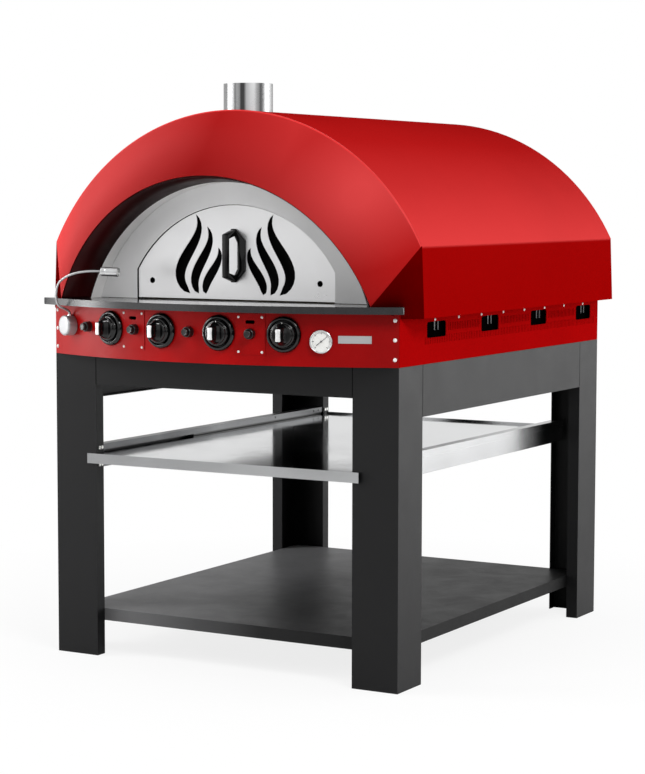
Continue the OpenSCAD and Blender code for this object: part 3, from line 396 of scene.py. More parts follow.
# A pale silver face on the end of each grip: a painted highlight of the light that the end face catches.
M["grip_end_painted_highlight"] = surface(
    "silver_grip_end_painted_highlight", (0.80, 0.80, 0.80), rough=(0.25, 0.4), metal=0.35, patch=(0.86, 1.06), patch_scale=90,
    grain=900, bump=0.05, bump_dist=0.0001)
M["zinc"] = surface(
    "zinc_plated_steel", (0.62, 0.62, 0.60), rough=(0.25, 0.42), metal=1.0, patch=(0.85, 1.08),
    patch_scale=40, grain=900, bump=0.12)
M["tab"] = surface(
    "grey_tab", lin(38, 38, 40), rough=(0.45, 0.6), metal=0.1, patch=(0.8, 1.1), patch_scale=60, grain=900,
    bump=0.08)
M["brass"] = surface(
    "brass", (0.55, 0.38, 0.15), rough=(0.22, 0.4), metal=1.0, patch=(0.8, 1.1), patch_scale=25, grain=700,
    bump=0.08)

# Stone, tiles and wool


def honed_edge(m):
    """Leaves the slab's top polished and adds roughness along its edge."""
    nt = m.node_tree
    roughness = nt.nodes["Principled BSDF"].inputs["Roughness"]
    honed = node(nt, "ShaderNodeMath", operation="ADD")
    nt.links.new(roughness.links[0].from_socket, honed.inputs[0])
    nt.links.new(map_range(nt, split(m, "Normal", "Z"), 0.5, 0.95, 0.15, 0.0), honed.inputs[1])
    nt.links.new(honed.outputs[0], roughness)
    return m


M["slab"] = honed_edge(surface(
    "polished_dark_slab", lin(34, 34, 36), rough=(0.08, 0.13), patch=(0.82, 1.18), patch_scale=60, grain=700,
    bump=0.02, bump_dist=0.0001, specular=0.5, fleck=0.25))
M["stone"] = surface(
    "refractory_tile", lin(196, 178, 150), rough=(0.8, 0.95), patch=(0.72, 1.08), patch_scale=14, grain=260,
    bump=0.6, bump_dist=0.0012, fleck=0.25)
M["vault"] = surface(
    "cast_refractory", lin(176, 158, 132), rough=(0.8, 0.95), patch=(0.55, 1.1), patch_scale=6, grain=160,
    bump=0.7, bump_dist=0.002, fleck=0.3)
M["wool"] = surface(
    "ceramic_wool", lin(226, 220, 206), rough=(0.9, 1.0), patch=(0.85, 1.05), patch_scale=20, grain=120,
    grain_stretch=(1, 6, 1), bump=0.9, bump_dist=0.004)

# Screws, the dial and its glass
M["screw"] = surface(
    "white_screw_head", lin(232, 230, 228), rough=(0.25, 0.35), patch=(0.9, 1.03), patch_scale=60, grain=900,
    bump=0.05, bump_dist=0.0001)
M["dial"] = surface(
    "dial_white", lin(236, 236, 232), rough=(0.35, 0.45), patch=(0.97, 1.02), grain=900, bump=0.03)
M["mark"] = surface("dial_black", lin(18, 18, 18), rough=(0.4, 0.5), patch=(0.9, 1.1), grain=900, bump=0.03)


def glass():
    m = bpy.data.materials.new("thermometer_glass")
    m.use_nodes = True
    nt = m.node_tree
    b = nt.nodes["Principled BSDF"]
    at = node(nt, "ShaderNodeTexCoord").outputs["Object"]
    tinge = ramp(nt, noise(nt, at, 60), [(0.3, (0.93, 0.95, 0.95)), (0.7, (1, 1, 1))])
    nt.links.new(tinge, b.inputs["Base Color"])
    nt.links.new(map_range(nt, noise(nt, at, 90), 0.3, 0.7, 0.01, 0.05), b.inputs["Roughness"])
    b.inputs["Alpha"].default_value = 0.07
    m.blend_method = "BLEND"
    return m


M["glass"] = glass()

# ---------------------------------------------------------------- mesh helpers


def paint(name, key):
    """One material all over a CAD node."""
    o = nodes[name]
    o.data.materials.clear()
    o.data.materials.append(M[key])
    for p in o.data.polygons:
        p.material_index = 0


def link(name, mesh, key, body, matrix=None):
    """A piece on its body; a mesh that several pieces share gets its material once."""
    o = bpy.data.objects.new(name, mesh)
    bpy.context.scene.collection.objects.link(o)
    if matrix is not None:
        o.matrix_world = matrix
    if not mesh.materials:
        mesh.materials.append(M[key])
    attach(o, body)
    return o


def finish_mesh(bm, name, smooth=True, angle=35):
    """Turns the faces outwards and marks edges sharper than the angle, in degrees."""
    bmesh.ops.recalc_face_normals(bm, faces=bm.faces)
    for f in bm.faces:
        f.smooth = smooth
    limit = math.radians(angle)
    for e in bm.edges:
        if len(e.link_faces) == 2:
            e.smooth = e.calc_face_angle(0) < limit
    me = bpy.data.meshes.new(name)
    bm.to_mesh(me)
    bm.free()
    return me


def lathe(profile, n, close=True):
    """Turns (radius, height) points, in metres, about +Z; close joins the last point to the first."""
    bm = bmesh.new()
    angles = [2 * PI * k / n for k in range(n)]
    rings = []
    for r, z in profile:
        if r < 1e-7:
            rings.append([bm.verts.new((0, 0, z))])
        else:
            rings.append([bm.verts.new((r * math.cos(a), r * math.sin(a), z)) for a in angles])
    pairs = list(zip(rings, rings[1:]))
    if close:
        pairs.append((rings[-1], rings[0]))
    for a, b in pairs:
        for k in range(n):
            k2 = (k + 1) % n
            if len(a) == 1 and len(b) == 1:
                continue
            if len(a) == 1:
                bm.faces.new((a[0], b[k2], b[k]))
            elif len(b) == 1:
                bm.faces.new((a[k], a[k2], b[0]))
            else:
                bm.faces.new((a[k], a[k2], b[k2], b[k]))
    return bm


def mm(points):
    """Points given in mm, in metres."""
    return [(a * MM, b * MM) for a, b in points]


def rounded(profile, r, steps=4):
    """Rounds every corner between the ends of an open (radius, height) line, in mm."""
    out = [profile[0]]
    for before, corner, after in zip(profile, profile[1:], profile[2:]):
        back = Vector((before[0] - corner[0], before[1] - corner[1]))
        ahead = Vector((after[0] - corner[0], after[1] - corner[1]))
        reach = min(r, back.length * 0.45, ahead.length * 0.45)
        start = Vector(corner) + back.normalized() * reach
        stop = Vector(corner) + ahead.normalized() * reach
        for i in range(steps + 1):
            t = i / steps
            q = (1 - t) ** 2 * start + 2 * t * (1 - t) * Vector(corner) + t * t * stop
            out.append((q.x, q.y))
    out.append(profile[-1])
    return out


def rect_ring(w, h, r, n=6):
    """A rounded rectangle's outline, centred."""
    pts = []
    x, y = w / 2 - r, h / 2 - r
    for cx, cy, start in ((x, y, 0), (-x, y, 90), (-x, -y, 180), (x, -y, 270)):
        for i in range(n + 1):
            a = math.radians(start + 90 * i / n)
            pts.append((cx + r * math.cos(a), cy + r * math.sin(a)))
    return pts


def join_rings(bm, rings):
    """Joins rings with equal counts of points into a wall, and caps both ends."""
    n = len(rings[0])
    for a, b in zip(rings, rings[1:]):
        for k in range(n):
            bm.faces.new((a[k], a[(k + 1) % n], b[(k + 1) % n], b[k]))
    bm.faces.new(list(reversed(rings[0])))
    bm.faces.new(rings[-1])
    return bm


def loft(sections):
    """Joins outlines with equal counts, given as (points, height), in mm."""
    bm = bmesh.new()
    return join_rings(bm, [[bm.verts.new((x * MM, y * MM, z * MM)) for x, y in pts] for pts, z in sections])


def prism(outline, z0, z1):
    """A closed outline in metres, pulled up between two heights."""
    bm = bmesh.new()
    return join_rings(bm, [[bm.verts.new((x, y, z)) for x, y in outline] for z in (z0, z1)])


def soften(bm, edges, width, segments):
    bmesh.ops.bevel(bm, geom=edges, offset=width, segments=segments, profile=0.5, affect="EDGES")


# ---------------------------------------------------------------- CAD nodes that stay

KEEP = {
    "stand": ["leg_front_left", "leg_front_right", "leg_rear_left", "leg_rear_right", "apron_front",
              "apron_rear", "apron_left", "apron_right", "shelf_brackets", "base_floor"],
    "stand_shelf": ["bottom_shelf"],
    "zinc": ["stand_bolts", "rail_bolts"],
    "steel_y": ["rail_right"],
    "steel_y_dim": ["rail_left"],
    "mirror": ["tray"],
    "black_matt": ["tray_runners"],
    "red_hood": ["hood_shell"],
    "red_base": ["base_side_left", "base_side_right", "base_rear", "hood_rear"],
    "red_panel": ["control_panel", "service_hatches"],
    "screw": ["panel_screws", "hood_screws"],
    "plate": ["name_plate"],
    "steel_ring": ["door_surround"],
    "steel_dull": ["oven_deck", "floor_burners", "flame_burners"],
    "steel_v": ["flue_pipe"],
    "door": ["door_front"],
    "soot_and_shade": ["door_back"],
    "stone": ["floor_tiles"],
    "vault": ["oven_vault"],
    "wool": ["insulation_blanket"],
    "brass": ["gas_rail", "gas_valves"],
    "black_handle": ["thermometer_needle", "door_handle"],
    "glass": ["thermometer_glass"],
    "slab": ["worktop"],
    "liner": ["throat_liner"],
}
for key, names in KEEP.items():
    for name in names:
        paint(name, key)

# The folded walls inside the door's gap are blackened: painted shade in the gap
surround = nodes["door_surround"]
surround.data.materials.append(M["soot_and_shade"])
for p in surround.data.polygons:
    if abs(p.normal.y) < 0.5:
        p.material_index = 1

# ---------------------------------------------------------------- fascia and mouth lining

SPRING_X, SPRING_Z, CROWN_Z = 0.559, 1.123, 1.470
HOOD_FOOT_X, HOOD_FOOT_Z = 0.566, BASE_TOP - 0.013
HOOD_FRONT = -(HY - 0.052)
RISE = CROWN_Z - SPRING_Z
HOOD_R = (SPRING_X ** 2 + RISE ** 2) / (2 * RISE)
HOOD_CZ = CROWN_Z - HOOD_R
MOUTH_R, MOUTH_TOP = 0.503, 1.300
MOUTH_CZ = MOUTH_TOP - MOUTH_R
MOUTH_Y = -(HY + 0.049)
LEAN = 0.11
THROAT_R, THROAT_CZ, THROAT_Y = 0.445, 0.840, -(HY - 0.022)


def arch(r, cz, half_angle, y0, lean=0.0, zref=0.0, n=240):
    """Points along an arch; it leans forward by lean per metre above the height zref."""
    out = []
    for i in range(n + 1):
        t = -half_angle + 2 * half_angle * i / n
        z = cz + r * math.cos(t)
        out.append(P(r * math.sin(t), y0 - lean * (z - zref), z))
    return out


def skin(name, lines, thick, key, replaces, pick=None):
    """A thin sheet through lines of points; pick chooses a face's material by row and column."""
    bm = bmesh.new()
    rows = [[bm.verts.new(p) for p in line] for line in lines]
    for r, (a, b) in enumerate(zip(rows, rows[1:])):
        for i in range(len(a) - 1):
            f = bm.faces.new((a[i], a[i + 1], b[i + 1], b[i]))
            f.material_index = pick(r, i, len(a) - 1) if pick else 0
    o = link(name, finish_mesh(bm, name, angle=8), key, "stand")
    sheet = o.modifiers.new("sheet", "SOLIDIFY")
    sheet.thickness = thick
    sheet.offset = -1
    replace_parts(o, replaces)
    return o


spring_a = math.asin(SPRING_X / HOOD_R)
mouth_a = math.acos((WORKTOP_TOP - MOUTH_CZ) / MOUTH_R)
edge_y = HOOD_FRONT - 0.0005


def with_feet(x, y, line):
    """A line with a point at the hood's foot added on either side."""
    return [P(-x, y, HOOD_FOOT_Z)] + line + [P(x, y, HOOD_FOOT_Z)]


def hood_line(grow, y):
    """The hood's outline, from foot to foot, at a depth."""
    return with_feet(HOOD_FOOT_X + grow, y, arch(HOOD_R + grow, HOOD_CZ, spring_a, y))


inner = with_feet(HX + 0.002, -HY + 0.008, arch(MOUTH_R, MOUTH_CZ, mouth_a, MOUTH_Y, LEAN, WORKTOP_TOP))
outer = hood_line(-0.0002, edge_y)
near = [o.lerp(i, 0.014) for o, i in zip(outer, inner)]
fold = [hood_line(0.0008, edge_y + 0.0030), hood_line(0.0008, edge_y + 0.0012),
        hood_line(0.0004, edge_y + 0.0003), near, inner]


def fascia_part(row, col, count):
    """Cheeks at both feet in a much darker red, painted shade, and the rounded fold along the arch in a paler
    red, a painted highlight.
    """
    if col in (0, count - 1):
        return 1
    return 2 if row in (1, 2) else 0


fascia = skin("hood_fascia_sheet", fold, 0.0012, "red", "hood_fascia", fascia_part)
fascia.data.materials.append(M["red_cheek"])
fascia.data.materials.append(M["red_fold"])

lining_r = MOUTH_R - 0.002
lining_foot = WORKTOP_TOP + 0.0005
lining_front = arch(lining_r, MOUTH_CZ, math.acos((lining_foot - MOUTH_CZ) / lining_r), MOUTH_Y + 0.003, LEAN,
                    WORKTOP_TOP)
lining_back = arch(THROAT_R, THROAT_CZ, math.acos((lining_foot - THROAT_CZ) / THROAT_R), THROAT_Y)
skin("mouth_lining_sheet", [lining_back, lining_front], 0.0012, "red_dark", "mouth_lining")

# ---------------------------------------------------------------- worktop

WORKTOP_R, WORKTOP_X = PANEL_R + 0.031, 0.550
tip = math.asin(WORKTOP_X / WORKTOP_R)
neck_r = WORKTOP_R - 0.039
mouth_x = math.sqrt(MOUTH_R ** 2 - (WORKTOP_TOP - MOUTH_CZ) ** 2)
throat_x = math.sqrt(THROAT_R ** 2 - (WORKTOP_TOP - THROAT_CZ) ** 2) + 0.007
slab_back = DOOR_Y + DOOR_T + 0.004 - 0.002


def slab_outline():
    """The slab seen from above: a bowed front with rounded tips, then back round the mouth's corners."""
    def bowed(r, a):
        return (r * math.sin(a), PANEL_CY - r * math.cos(a))

    round_r = 0.006
    step = round_r / WORKTOP_R
    side = []
    for k in range(7):
        t = k / 6 * PI / 2
        side.append(bowed(WORKTOP_R - round_r * (1 - math.cos(t)), tip - step * (1 - math.sin(t))))
    side += [bowed(neck_r, tip), (mouth_x - 0.0015, MOUTH_Y - 0.0035), (throat_x, THROAT_Y),
             (throat_x, slab_back)]
    front = [bowed(WORKTOP_R, (tip - step) * (k / 40 - 1)) for k in range(1, 80)]
    left = [(-x, y) for x, y in reversed(side)]
    return [(x, y + OY) for x, y in left + front + side]


bm = prism(slab_outline(), BASE_TOP, WORKTOP_TOP)
rim = [e for e in bm.edges if abs(e.verts[0].co.z - e.verts[1].co.z) < 1e-6]
soften(bm, rim, 0.0022, 3)
slab = link("worktop_slab", finish_mesh(bm, "worktop_slab", angle=32), "slab", "stand")
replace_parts(slab, "worktop")

# ---------------------------------------------------------------- shields behind the side ports


def block(name, lo, hi, key, edge=0.0):
    """A box with softened edges between two corners of the stand's frame, in mm."""
    bm = bmesh.new()
    bmesh.ops.create_cube(bm, size=1.0)
    for v in bm.verts:
        v.co = P(*[(lo[k] + hi[k]) / 2 * MM + v.co[k] * (hi[k] - lo[k]) * MM for k in range(3)])
    if edge:
        soften(bm, list(bm.edges), edge * MM, 2)
    return link(name, finish_mesh(bm, name, angle=40), key, "stand")


HANDS = ((-1, "left"), (1, "right"))
PORT_Y0, PORT_PITCH = 48.5, 321.5
PORT_Y = [PORT_Y0 + (i - 1.5) * PORT_PITCH for i in range(4)]
# How far the shields and the tabs lie from the middle, in mm
SHIELD_X, TAB_X = (509, 511), (513, 515)
# The black plates behind the ports stand for the shade inside the base: painted shade.
for side, hand in HANDS:
    x0, x1 = sorted(side * x for x in SHIELD_X)
    block("port_painted_shade_" + hand, (x0, -540, 836), (x1, 630, 941), "black_painted_shade", 0.6)
    x0, x1 = sorted(side * x for x in TAB_X)
    for i, port_y in enumerate(PORT_Y):
        for letter, offset in (("a", 8), ("b", 28)):
            y = port_y + offset
            block("port_tab_%s_%d_%s" % (hand, i + 1, letter), (x0, y - 3, 905), (x1, y + 3, 936), "tab", 0.5)

# Black strips in the seams where the aprons meet the legs, a painted shade of the gaps, in mm: half their
# width, and how deep and how proud they are
SEAM, DEEP, PROUD = 0.9, 0.6, 0.15
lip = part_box("apron_front")[1].x * 1000
end = (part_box("apron_right")[1].y - OY) * 1000
for side, hand in HANDS:
    for facing, place in ((-1, "front"), (1, "rear")):
        tag = hand + "_" + place
        y0, y1 = sorted((facing * (HY * 1000 - DEEP), facing * (HY * 1000 + PROUD)))
        block("seam_across_" + tag, (side * lip - SEAM, y0, 742), (side * lip + SEAM, y1, 821), "black_painted_shade")
        x0, x1 = sorted((side * (HX * 1000 - DEEP), side * (HX * 1000 + PROUD)))
        y0, y1 = facing * end - SEAM, facing * end + SEAM
        block("seam_along_" + tag, (x0, y0, 690), (x1, y1, 821), "black_painted_shade")

# ---------------------------------------------------------------- knobs and bezels
# Lines of turned pieces are (radius, height) in mm, with the height along the panel's normal

bezel_line = rounded([(36.5, 0.4), (45.6, 0.4), (46, 4.5), (42.5, 10.5), (38.5, 12), (35.5, 9.5), (35, 4.5)],
                     1.4)
bezel_mesh = finish_mesh(lathe(mm(bezel_line + [(7.5, 4.0), (7.5, 0.4)]), n=128), "bezel", angle=50)

skirt_line = rounded([(0, 6.2), (32.6, 6.2), (33.2, 8), (33.2, 13), (31.6, 16.4), (28.6, 17.6), (27.6, 21.5),
                      (24, 23), (0, 23.4)], 1.1)
skirt_mesh = finish_mesh(lathe(mm(skirt_line), n=128, close=False), "skirt", angle=50)
grip_mesh = finish_mesh(loft([
    (rect_ring(30, 54, 13), 22.5), (rect_ring(27, 53, 12), 25), (rect_ring(20, 49, 8.5), 29),
    (rect_ring(15.5, 44, 6.5), 34), (rect_ring(14, 39, 5.5), 40), (rect_ring(14.5, 35, 5), 45),
    (rect_ring(15.6, 33.4, 4.5), 48), (rect_ring(15.2, 33, 4.2), 48.9), (rect_ring(13.6, 31.4, 3.4), 49.4)]),
    "grip", angle=50)


def rect_ring_fine(w, h, r, n=4, parts=8):
    """A rounded rectangle's outline with its upright sides cut into parts."""
    pts = rect_ring(w, h, r, n)
    out = []
    for a, b in zip(pts, pts[1:] + pts[:1]):
        out.append(a)
        if abs(a[1] - b[1]) > h / 2:
            for k in range(1, parts):
                out.append((a[0] + (b[0] - a[0]) * k / parts, a[1] + (b[1] - a[1]) * k / parts))
    return out


def waist(w, h, r, dip):
    """A rounded rectangle with its long sides drawn in, as on the end of a grip."""
    return [(x * (1 - dip * math.cos(PI * y / h) ** 2), y) for x, y in rect_ring_fine(w, h, r)]


# The pale face on each grip's end is a painted highlight.
grip_end_highlight_mesh = finish_mesh(loft([(waist(13.4, 31, 2.2, 0.13), 49.4), (waist(13.2, 30.8, 2.2, 0.13), 49.9),
                                (waist(12.6, 30.2, 2.0, 0.13), 50.1)]), "grip_end_highlight", angle=50)
POINTER = [(0, 31.0), (-2.2, 27.4), (2.2, 27.4)]
for i, x in enumerate(KNOB_X):
    at = panel_matrix(x, KNOB_Z)
    ring = link("knob_bezel_%d" % (i + 1), bezel_mesh, "bezel", "stand", at)
    if i == 0:
        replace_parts(ring, "knob_bezels")
    body = "knob_%d" % (i + 1)
    skirt = link(body + "_skirt", skirt_mesh, "black", body, at)
    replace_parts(skirt, body)
    link(body + "_grip", grip_mesh, "black", body, at)
    link(body + "_end_highlight", grip_end_highlight_mesh, "grip_end_painted_highlight", body, at)
    pointer_mesh = finish_mesh(loft([(POINTER, 17.0), (POINTER, 18.4)]), "pointer", smooth=False)
    link(body + "_pointer", pointer_mesh, "dial", body, at)

# ---------------------------------------------------------------- igniter buttons

collar_line = rounded([(10.2, 2.2), (10.2, 16), (11.8, 16.7), (13.2, 15.4), (13.6, 13), (13.6, 2),
                       (14.6, 0.4), (10.2, 0.4)], 0.7)
collar_mesh = finish_mesh(lathe(mm(collar_line), n=64), "collar", angle=50)
cap_line = rounded([(0, 24.2), (6.5, 24.3), (8.2, 25.0), (9.3, 24.0), (9.95, 21), (9.95, 6.6), (0, 6.6)], 1.0)
cap_mesh = finish_mesh(lathe(mm(cap_line), n=64, close=False), "cap", angle=50)
for i, x in enumerate(BUTTON_X):
    at = panel_matrix(x, KNOB_Z)
    ring = link("button_collar_%d" % (i + 1), collar_mesh, "black_matt", "stand", at)
    if i == 0:
        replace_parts(ring, "button_collars")
    body = "button_%d" % (i + 1)
    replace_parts(link(body + "_cap", cap_mesh, "black_matt", body, at), body)

# ---------------------------------------------------------------- thermometer

at = panel_matrix(THERMOMETER_X, THERMOMETER_Z)
rim_line = rounded([(26.6, 3.4), (26.6, 7.8), (27.4, 8.8), (28.6, 8.6), (29.5, 7.2), (29.5, 0.4),
                    (26.6, 0.4)], 0.8)
rim_mesh = finish_mesh(lathe(mm(rim_line), n=128), "rim", angle=50)
case = link("thermometer_rim", rim_mesh, "chrome", "stand", at)
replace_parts(case, "thermometer_case")
dial_bm = lathe(mm([(1.2, 0.6), (26.5, 0.6), (26.5, 3.0), (1.2, 3.0)]), n=128)
link("thermometer_dial", finish_mesh(dial_bm, "dial", angle=40), "dial", "stand", at)


def ticks():
    """Plain ticks round the dial, in mm: a long one at each sixth step."""
    bm = bmesh.new()
    outer_r = 23.6
    for k in range(37):
        a = math.radians(225 - 270 * k / 36)
        width, length = (1.7, 4.6) if k % 6 == 0 else (0.8, 2.4)
        inner_r = outer_r - length
        w = width / 2
        c, s = math.cos(a), math.sin(a)
        corners = [(r * c - off * s, r * s + off * c)
                   for r, off in ((inner_r, -w), (outer_r, -w), (outer_r, w), (inner_r, w))]
        join_rings(bm, [[bm.verts.new((x * MM, y * MM, z * MM)) for x, y in corners] for z in (3.05, 3.13)])
    return bm


link("thermometer_ticks", finish_mesh(ticks(), "ticks", smooth=False), "mark", "stand", at)

# ---------------------------------------------------------------- lamp

at = panel_matrix(LAMP_X, KNOB_Z)
can_line = rounded([(0, 28.6), (22, 28.8), (26, 27.4), (27, 24), (27, 1.2), (25.5, 0.3), (0, 0.3)], 1.6)
can_mesh = finish_mesh(lathe(mm(can_line), n=128, close=False), "lamp_base", angle=50)
lamp_base = link("lamp_base_can", can_mesh, "lamp_grey", "stand", at)
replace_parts(lamp_base, "lamp_base")
# The top of the socket, where the goose neck comes out
root = P(-0.447, -(HY + 0.043), KNOB_Z + 0.030)
socket = lathe(mm(rounded([(4.1, -11), (4.1, -0.6), (4.6, 0), (5.8, 0), (6.2, -0.8), (6.2, -11)], 0.5)), n=48)
link("lamp_socket", finish_mesh(socket, "socket", angle=50), "chrome", "stand",
     Matrix.Translation(root))

# The goose neck's route, in mm, in the stand's own frame
ROUTE = [(-447, -685, 924), (-447, -685, 932), (-447.5, -687, 938), (-449, -695, 943.5), (-451, -707, 948),
         (-454.5, -720, 953.5), (-456, -730, 965), (-454.5, -736.5, 982), (-450, -740, 999),
         (-443, -742, 1014), (-431, -742, 1026), (-414, -740, 1036), (-394, -737, 1043),
         (-372, -733, 1047.5), (-346, -728, 1050), (-318, -722, 1050)]


def catmull(points, steps):
    """A smooth line through points, with a number of steps between each two."""
    pts = [points[0]] + points + [points[-1]]
    out = []
    for i in range(1, len(pts) - 2):
        p0, p1, p2, p3 = pts[i - 1:i + 3]
        for k in range(steps):
            t = k / steps
            out.append(0.5 * ((2 * p1) + (p2 - p0) * t + (2 * p0 - 5 * p1 + 4 * p2 - p3) * t * t +
                              (3 * p1 - p0 - 3 * p2 + p3) * t ** 3))
    out.append(points[-1])
    return out


def ribbed_tube(points, radius, n, wave, pitch):
    """A closed tube along points; wave and pitch give it the ribs of a goose neck."""
    bm = bmesh.new()
    rings = []
    up = Vector((0, 1, 0.2))
    run = 0.0
    for i, p in enumerate(points):
        t = (points[min(i + 1, len(points) - 1)] - points[max(i - 1, 0)]).normalized()
        up = (up - up.dot(t) * t).normalized()
        across = t.cross(up)
        if i:
            run += (p - points[i - 1]).length
        r = radius + wave * math.cos(2 * PI * run / pitch)
        angles = [2 * PI * k / n for k in range(n)]
        rings.append([bm.verts.new(p + r * (math.cos(a) * up + math.sin(a) * across)) for a in angles])
    return join_rings(bm, rings)


neck_line = [P(x * MM, y * MM, z * MM) for x, y, z in ROUTE]
neck_bm = ribbed_tube(catmull(neck_line, 26), 0.0031, 20, 0.00022, 0.0019)
neck_obj = link("lamp_goose_neck", finish_mesh(neck_bm, "neck", angle=60), "neck_grey", "lamp")
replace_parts(neck_obj, "lamp_neck")

# The head points to the right, a little backwards and down
TURN, DIP = math.radians(12), math.radians(2)
aim = Vector((math.cos(TURN) * math.cos(DIP), math.sin(TURN) * math.cos(DIP), -math.sin(DIP)))
head_at = Matrix.Translation(neck_line[-1]) @ aim.to_track_quat("Z", "Y").to_matrix().to_4x4()
head_line = rounded([(0, -1.5), (5, -1.5), (6, 0.2), (9.5, 0.6), (12, 2.6), (12, 14.0), (11.5, 14.6),
                     (11.5, 15.8), (12, 16.4), (12, 47.6), (11.6, 49.6), (10.7, 49.6), (10.3, 42), (0, 42)],
                    0.5)
head_bm = lathe(mm(head_line), n=96, close=False)
head = link("lamp_head_can", finish_mesh(head_bm, "head", angle=50), "satin", "lamp", head_at)
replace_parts(head, "lamp_head")
lens_bm = lathe(mm([(0, 45.6), (4, 45.2), (8, 44.0), (10.1, 42.4), (0, 42.2)]), n=64, close=False)
link("lamp_lens", finish_mesh(lens_bm, "lens", angle=60), "dial", "lamp", head_at)

# ---------------------------------------------------------------- door pull

PULL_Z = WORKTOP_TOP + 0.003 + 0.115
# The grip's side view as (y, z) in mm from the door's face: the outside, then the inside
PULL = [(0, -70), (-50, -56), (-50, 56), (0, 70), (0, 53), (-36, 44), (-36, -44), (0, -53)]
# The bent foot plate as (x, z) in mm, and its thickness in metres
FOOT = [(-8, 70), (6, 70), (34, 40), (34, -40), (6, -70), (-8, -70), (-8, -54), (1, -54), (12, -34), (12, 34),
        (1, 54), (-8, 54)]
FOOT_T = 0.006


def pull_mesh():
    """A D-shaped grip, 16 mm wide: two slanting arms and a bar."""
    bm = bmesh.new()
    v = [bm.verts.new(P(x * MM, DOOR_Y + y * MM, PULL_Z + z * MM)) for x in (-8, 8) for y, z in PULL]
    n = len(PULL)
    for a, b, c, d in ((0, 1, 6, 7), (1, 2, 5, 6), (2, 3, 4, 5)):
        bm.faces.new((v[a], v[b], v[c], v[d]))
        bm.faces.new((v[n + d], v[n + c], v[n + b], v[n + a]))
    for k in range(n):
        k2 = (k + 1) % n
        bm.faces.new((v[k], v[n + k], v[n + k2], v[k2]))
    bmesh.ops.recalc_face_normals(bm, faces=bm.faces)
    sharp = [e for e in bm.edges if len(e.link_faces) == 2 and e.calc_face_angle(0) > math.radians(12)]
    soften(bm, sharp, 0.0028, 4)
    return finish_mesh(bm, "door_pull", angle=30)


def foot_mesh():
    bm = bmesh.new()
    front = [bm.verts.new(P(x * MM, DOOR_Y - FOOT_T, PULL_Z + z * MM)) for x, z in FOOT]
    back = [bm.verts.new(P(x * MM, DOOR_Y, PULL_Z + z * MM)) for x, z in FOOT]
    bm.faces.new(front)
    bm.faces.new(list(reversed(back)))
    for k in range(len(FOOT)):
        k2 = (k + 1) % len(FOOT)
        bm.faces.new((front[k2], front[k], back[k], back[k2]))
    bmesh.ops.recalc_face_normals(bm, faces=bm.faces)
    soften(bm, list(bm.edges), 0.0016, 3)
    return finish_mesh(bm, "door_pull_foot", angle=30)


pull = link("door_pull", pull_mesh(), "black_handle", "door")
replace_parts(pull, "door_handle")
link("door_pull_foot", foot_mesh(), "black_handle", "door")

# ---------------------------------------------------------------- stage, light and camera

bm = bmesh.new()
bmesh.ops.create_grid(bm, x_segments=2, y_segments=2, size=30)
floor = bpy.data.objects.new("floor", finish_mesh(bm, "floor", smooth=False))
bpy.context.scene.collection.objects.link(floor)
floor_mat = surface("studio_floor", (0.80, 0.80, 0.80), rough=(0.6, 0.7), patch=(0.99, 1.01), grain=40,
                    bump=0.0, specular=0.1)
floor.data.materials.append(floor_mat)
floor.location.z = -0.0005
# To the camera the sheet fades to clean white a little way from the legs
ft = floor_mat.node_tree
distance = node(ft, "ShaderNodeVectorMath", operation="LENGTH")
ft.links.new(node(ft, "ShaderNodeTexCoord").outputs["Object"], distance.inputs[0])
white = node(ft, "ShaderNodeEmission")
white.inputs["Strength"].default_value = 1.0
share = node(ft, "ShaderNodeMath", operation="MULTIPLY")
ft.links.new(map_range(ft, distance.outputs["Value"], 0.4, 1.9, 0.82, 1.0), share.inputs[0])
ft.links.new(node(ft, "ShaderNodeLightPath").outputs["Is Camera Ray"], share.inputs[1])
sheet_mix = node(ft, "ShaderNodeMixShader")
ft.links.new(share.outputs[0], sheet_mix.inputs[0])
ft.links.new(ft.nodes["Principled BSDF"].outputs[0], sheet_mix.inputs[1])
ft.links.new(white.outputs[0], sheet_mix.inputs[2])
ft.links.new(sheet_mix.outputs[0], ft.nodes["Material Output"].inputs["Surface"])


def area(name, at, aim, size, power):
    """A soft light at a point, aimed at another."""
    light = bpy.data.lights.new(name, "AREA")
    light.shape = "RECTANGLE"
    light.size, light.size_y = size
    light.energy = power
    o = bpy.data.objects.new(name, light)
    bpy.context.scene.collection.objects.link(o)
    o.location = at
    o.rotation_mode = "QUATERNION"
    o.rotation_quaternion = (Vector(aim) - Vector(at)).to_track_quat("-Z", "Y")


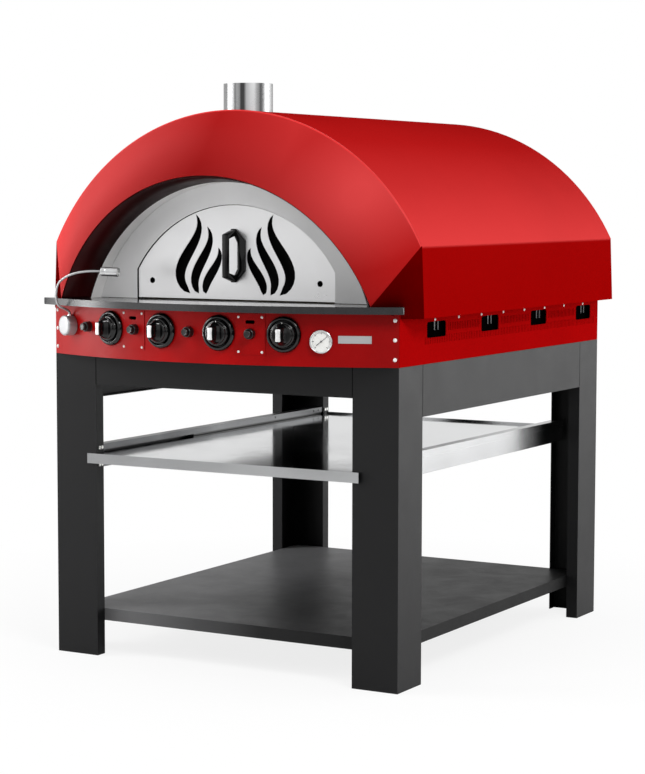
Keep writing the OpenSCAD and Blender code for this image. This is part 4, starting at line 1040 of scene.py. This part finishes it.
area("left_high", (-3.4, -2.6, 3.0), (0, -0.3, 1.1), (2.0, 2.4), 105)
area("left_front", (-3.4, -4.6, 1.3), (0, -0.5, 0.9), (2.2, 2.6), 15)
area("left_side", (-4.2, -1.7, 0.9), (-0.4, -0.5, 0.9), (1.6, 2.2), 32)
area("left_strip", (-3.8, -2.1, 1.1), (-0.2, -0.7, 0.95), (0.12, 1.8), 28)
area("right_high", (3.0, -2.2, 3.8), (0.2, -0.3, 1.1), (1.6, 1.6), 125)
area("right_back", (4.2, 2.8, 1.2), (0.3, 0.0, 0.6), (2.6, 2.8), 110)
area("top", (0.2, 0.2, 4.4), (0, 0, 1.2), (3.0, 3.0), 45)
area("back_sheet", (3.2, 5.6, 0.9), (0.4, 0, 0.8), (4.0, 2.6), 50)

world = bpy.data.worlds.new("studio")
bpy.context.scene.world = world
world.use_nodes = True
wt = world.node_tree
diffuse_sky = wt.nodes["Background"]
diffuse_sky.inputs["Color"].default_value = (1, 1, 1, 1)
diffuse_sky.inputs["Strength"].default_value = 0.40
rays = node(wt, "ShaderNodeLightPath")


def sky(strength, ray, below):
    """A white sky of another strength for one kind of ray."""
    background = node(wt, "ShaderNodeBackground")
    background.inputs["Color"].default_value = (1, 1, 1, 1)
    background.inputs["Strength"].default_value = strength
    mix = node(wt, "ShaderNodeMixShader")
    wt.links.new(rays.outputs[ray], mix.inputs[0])
    wt.links.new(below, mix.inputs[1])
    wt.links.new(background.outputs[0], mix.inputs[2])
    return mix.outputs[0]


glossy = sky(0.80, "Is Glossy Ray", diffuse_sky.outputs[0])
wt.links.new(sky(1.0, "Is Camera Ray", glossy), wt.nodes["World Output"].inputs["Surface"])

# The camera's place, angle and shift are the ones that the stand's straight edges give in the photograph
cam_data = bpy.data.cameras.new("camera")
cam = bpy.data.objects.new("camera", cam_data)
bpy.context.scene.collection.objects.link(cam)
cam_data.sensor_width = 36
cam_data.lens = 100.84
cam_data.shift_x = 0.05795
cam_data.shift_y = 0.00465
cam_data.clip_end = 100
cam.location = P(2.99305, -5.40706, 1.24136)
yaw, pitch = math.radians(30.5952), math.radians(5.0663)
cam.rotation_euler = (PI / 2 - pitch, 0, yaw)
bpy.context.scene.camera = cam
bpy.context.scene.view_settings.view_transform = "Standard"
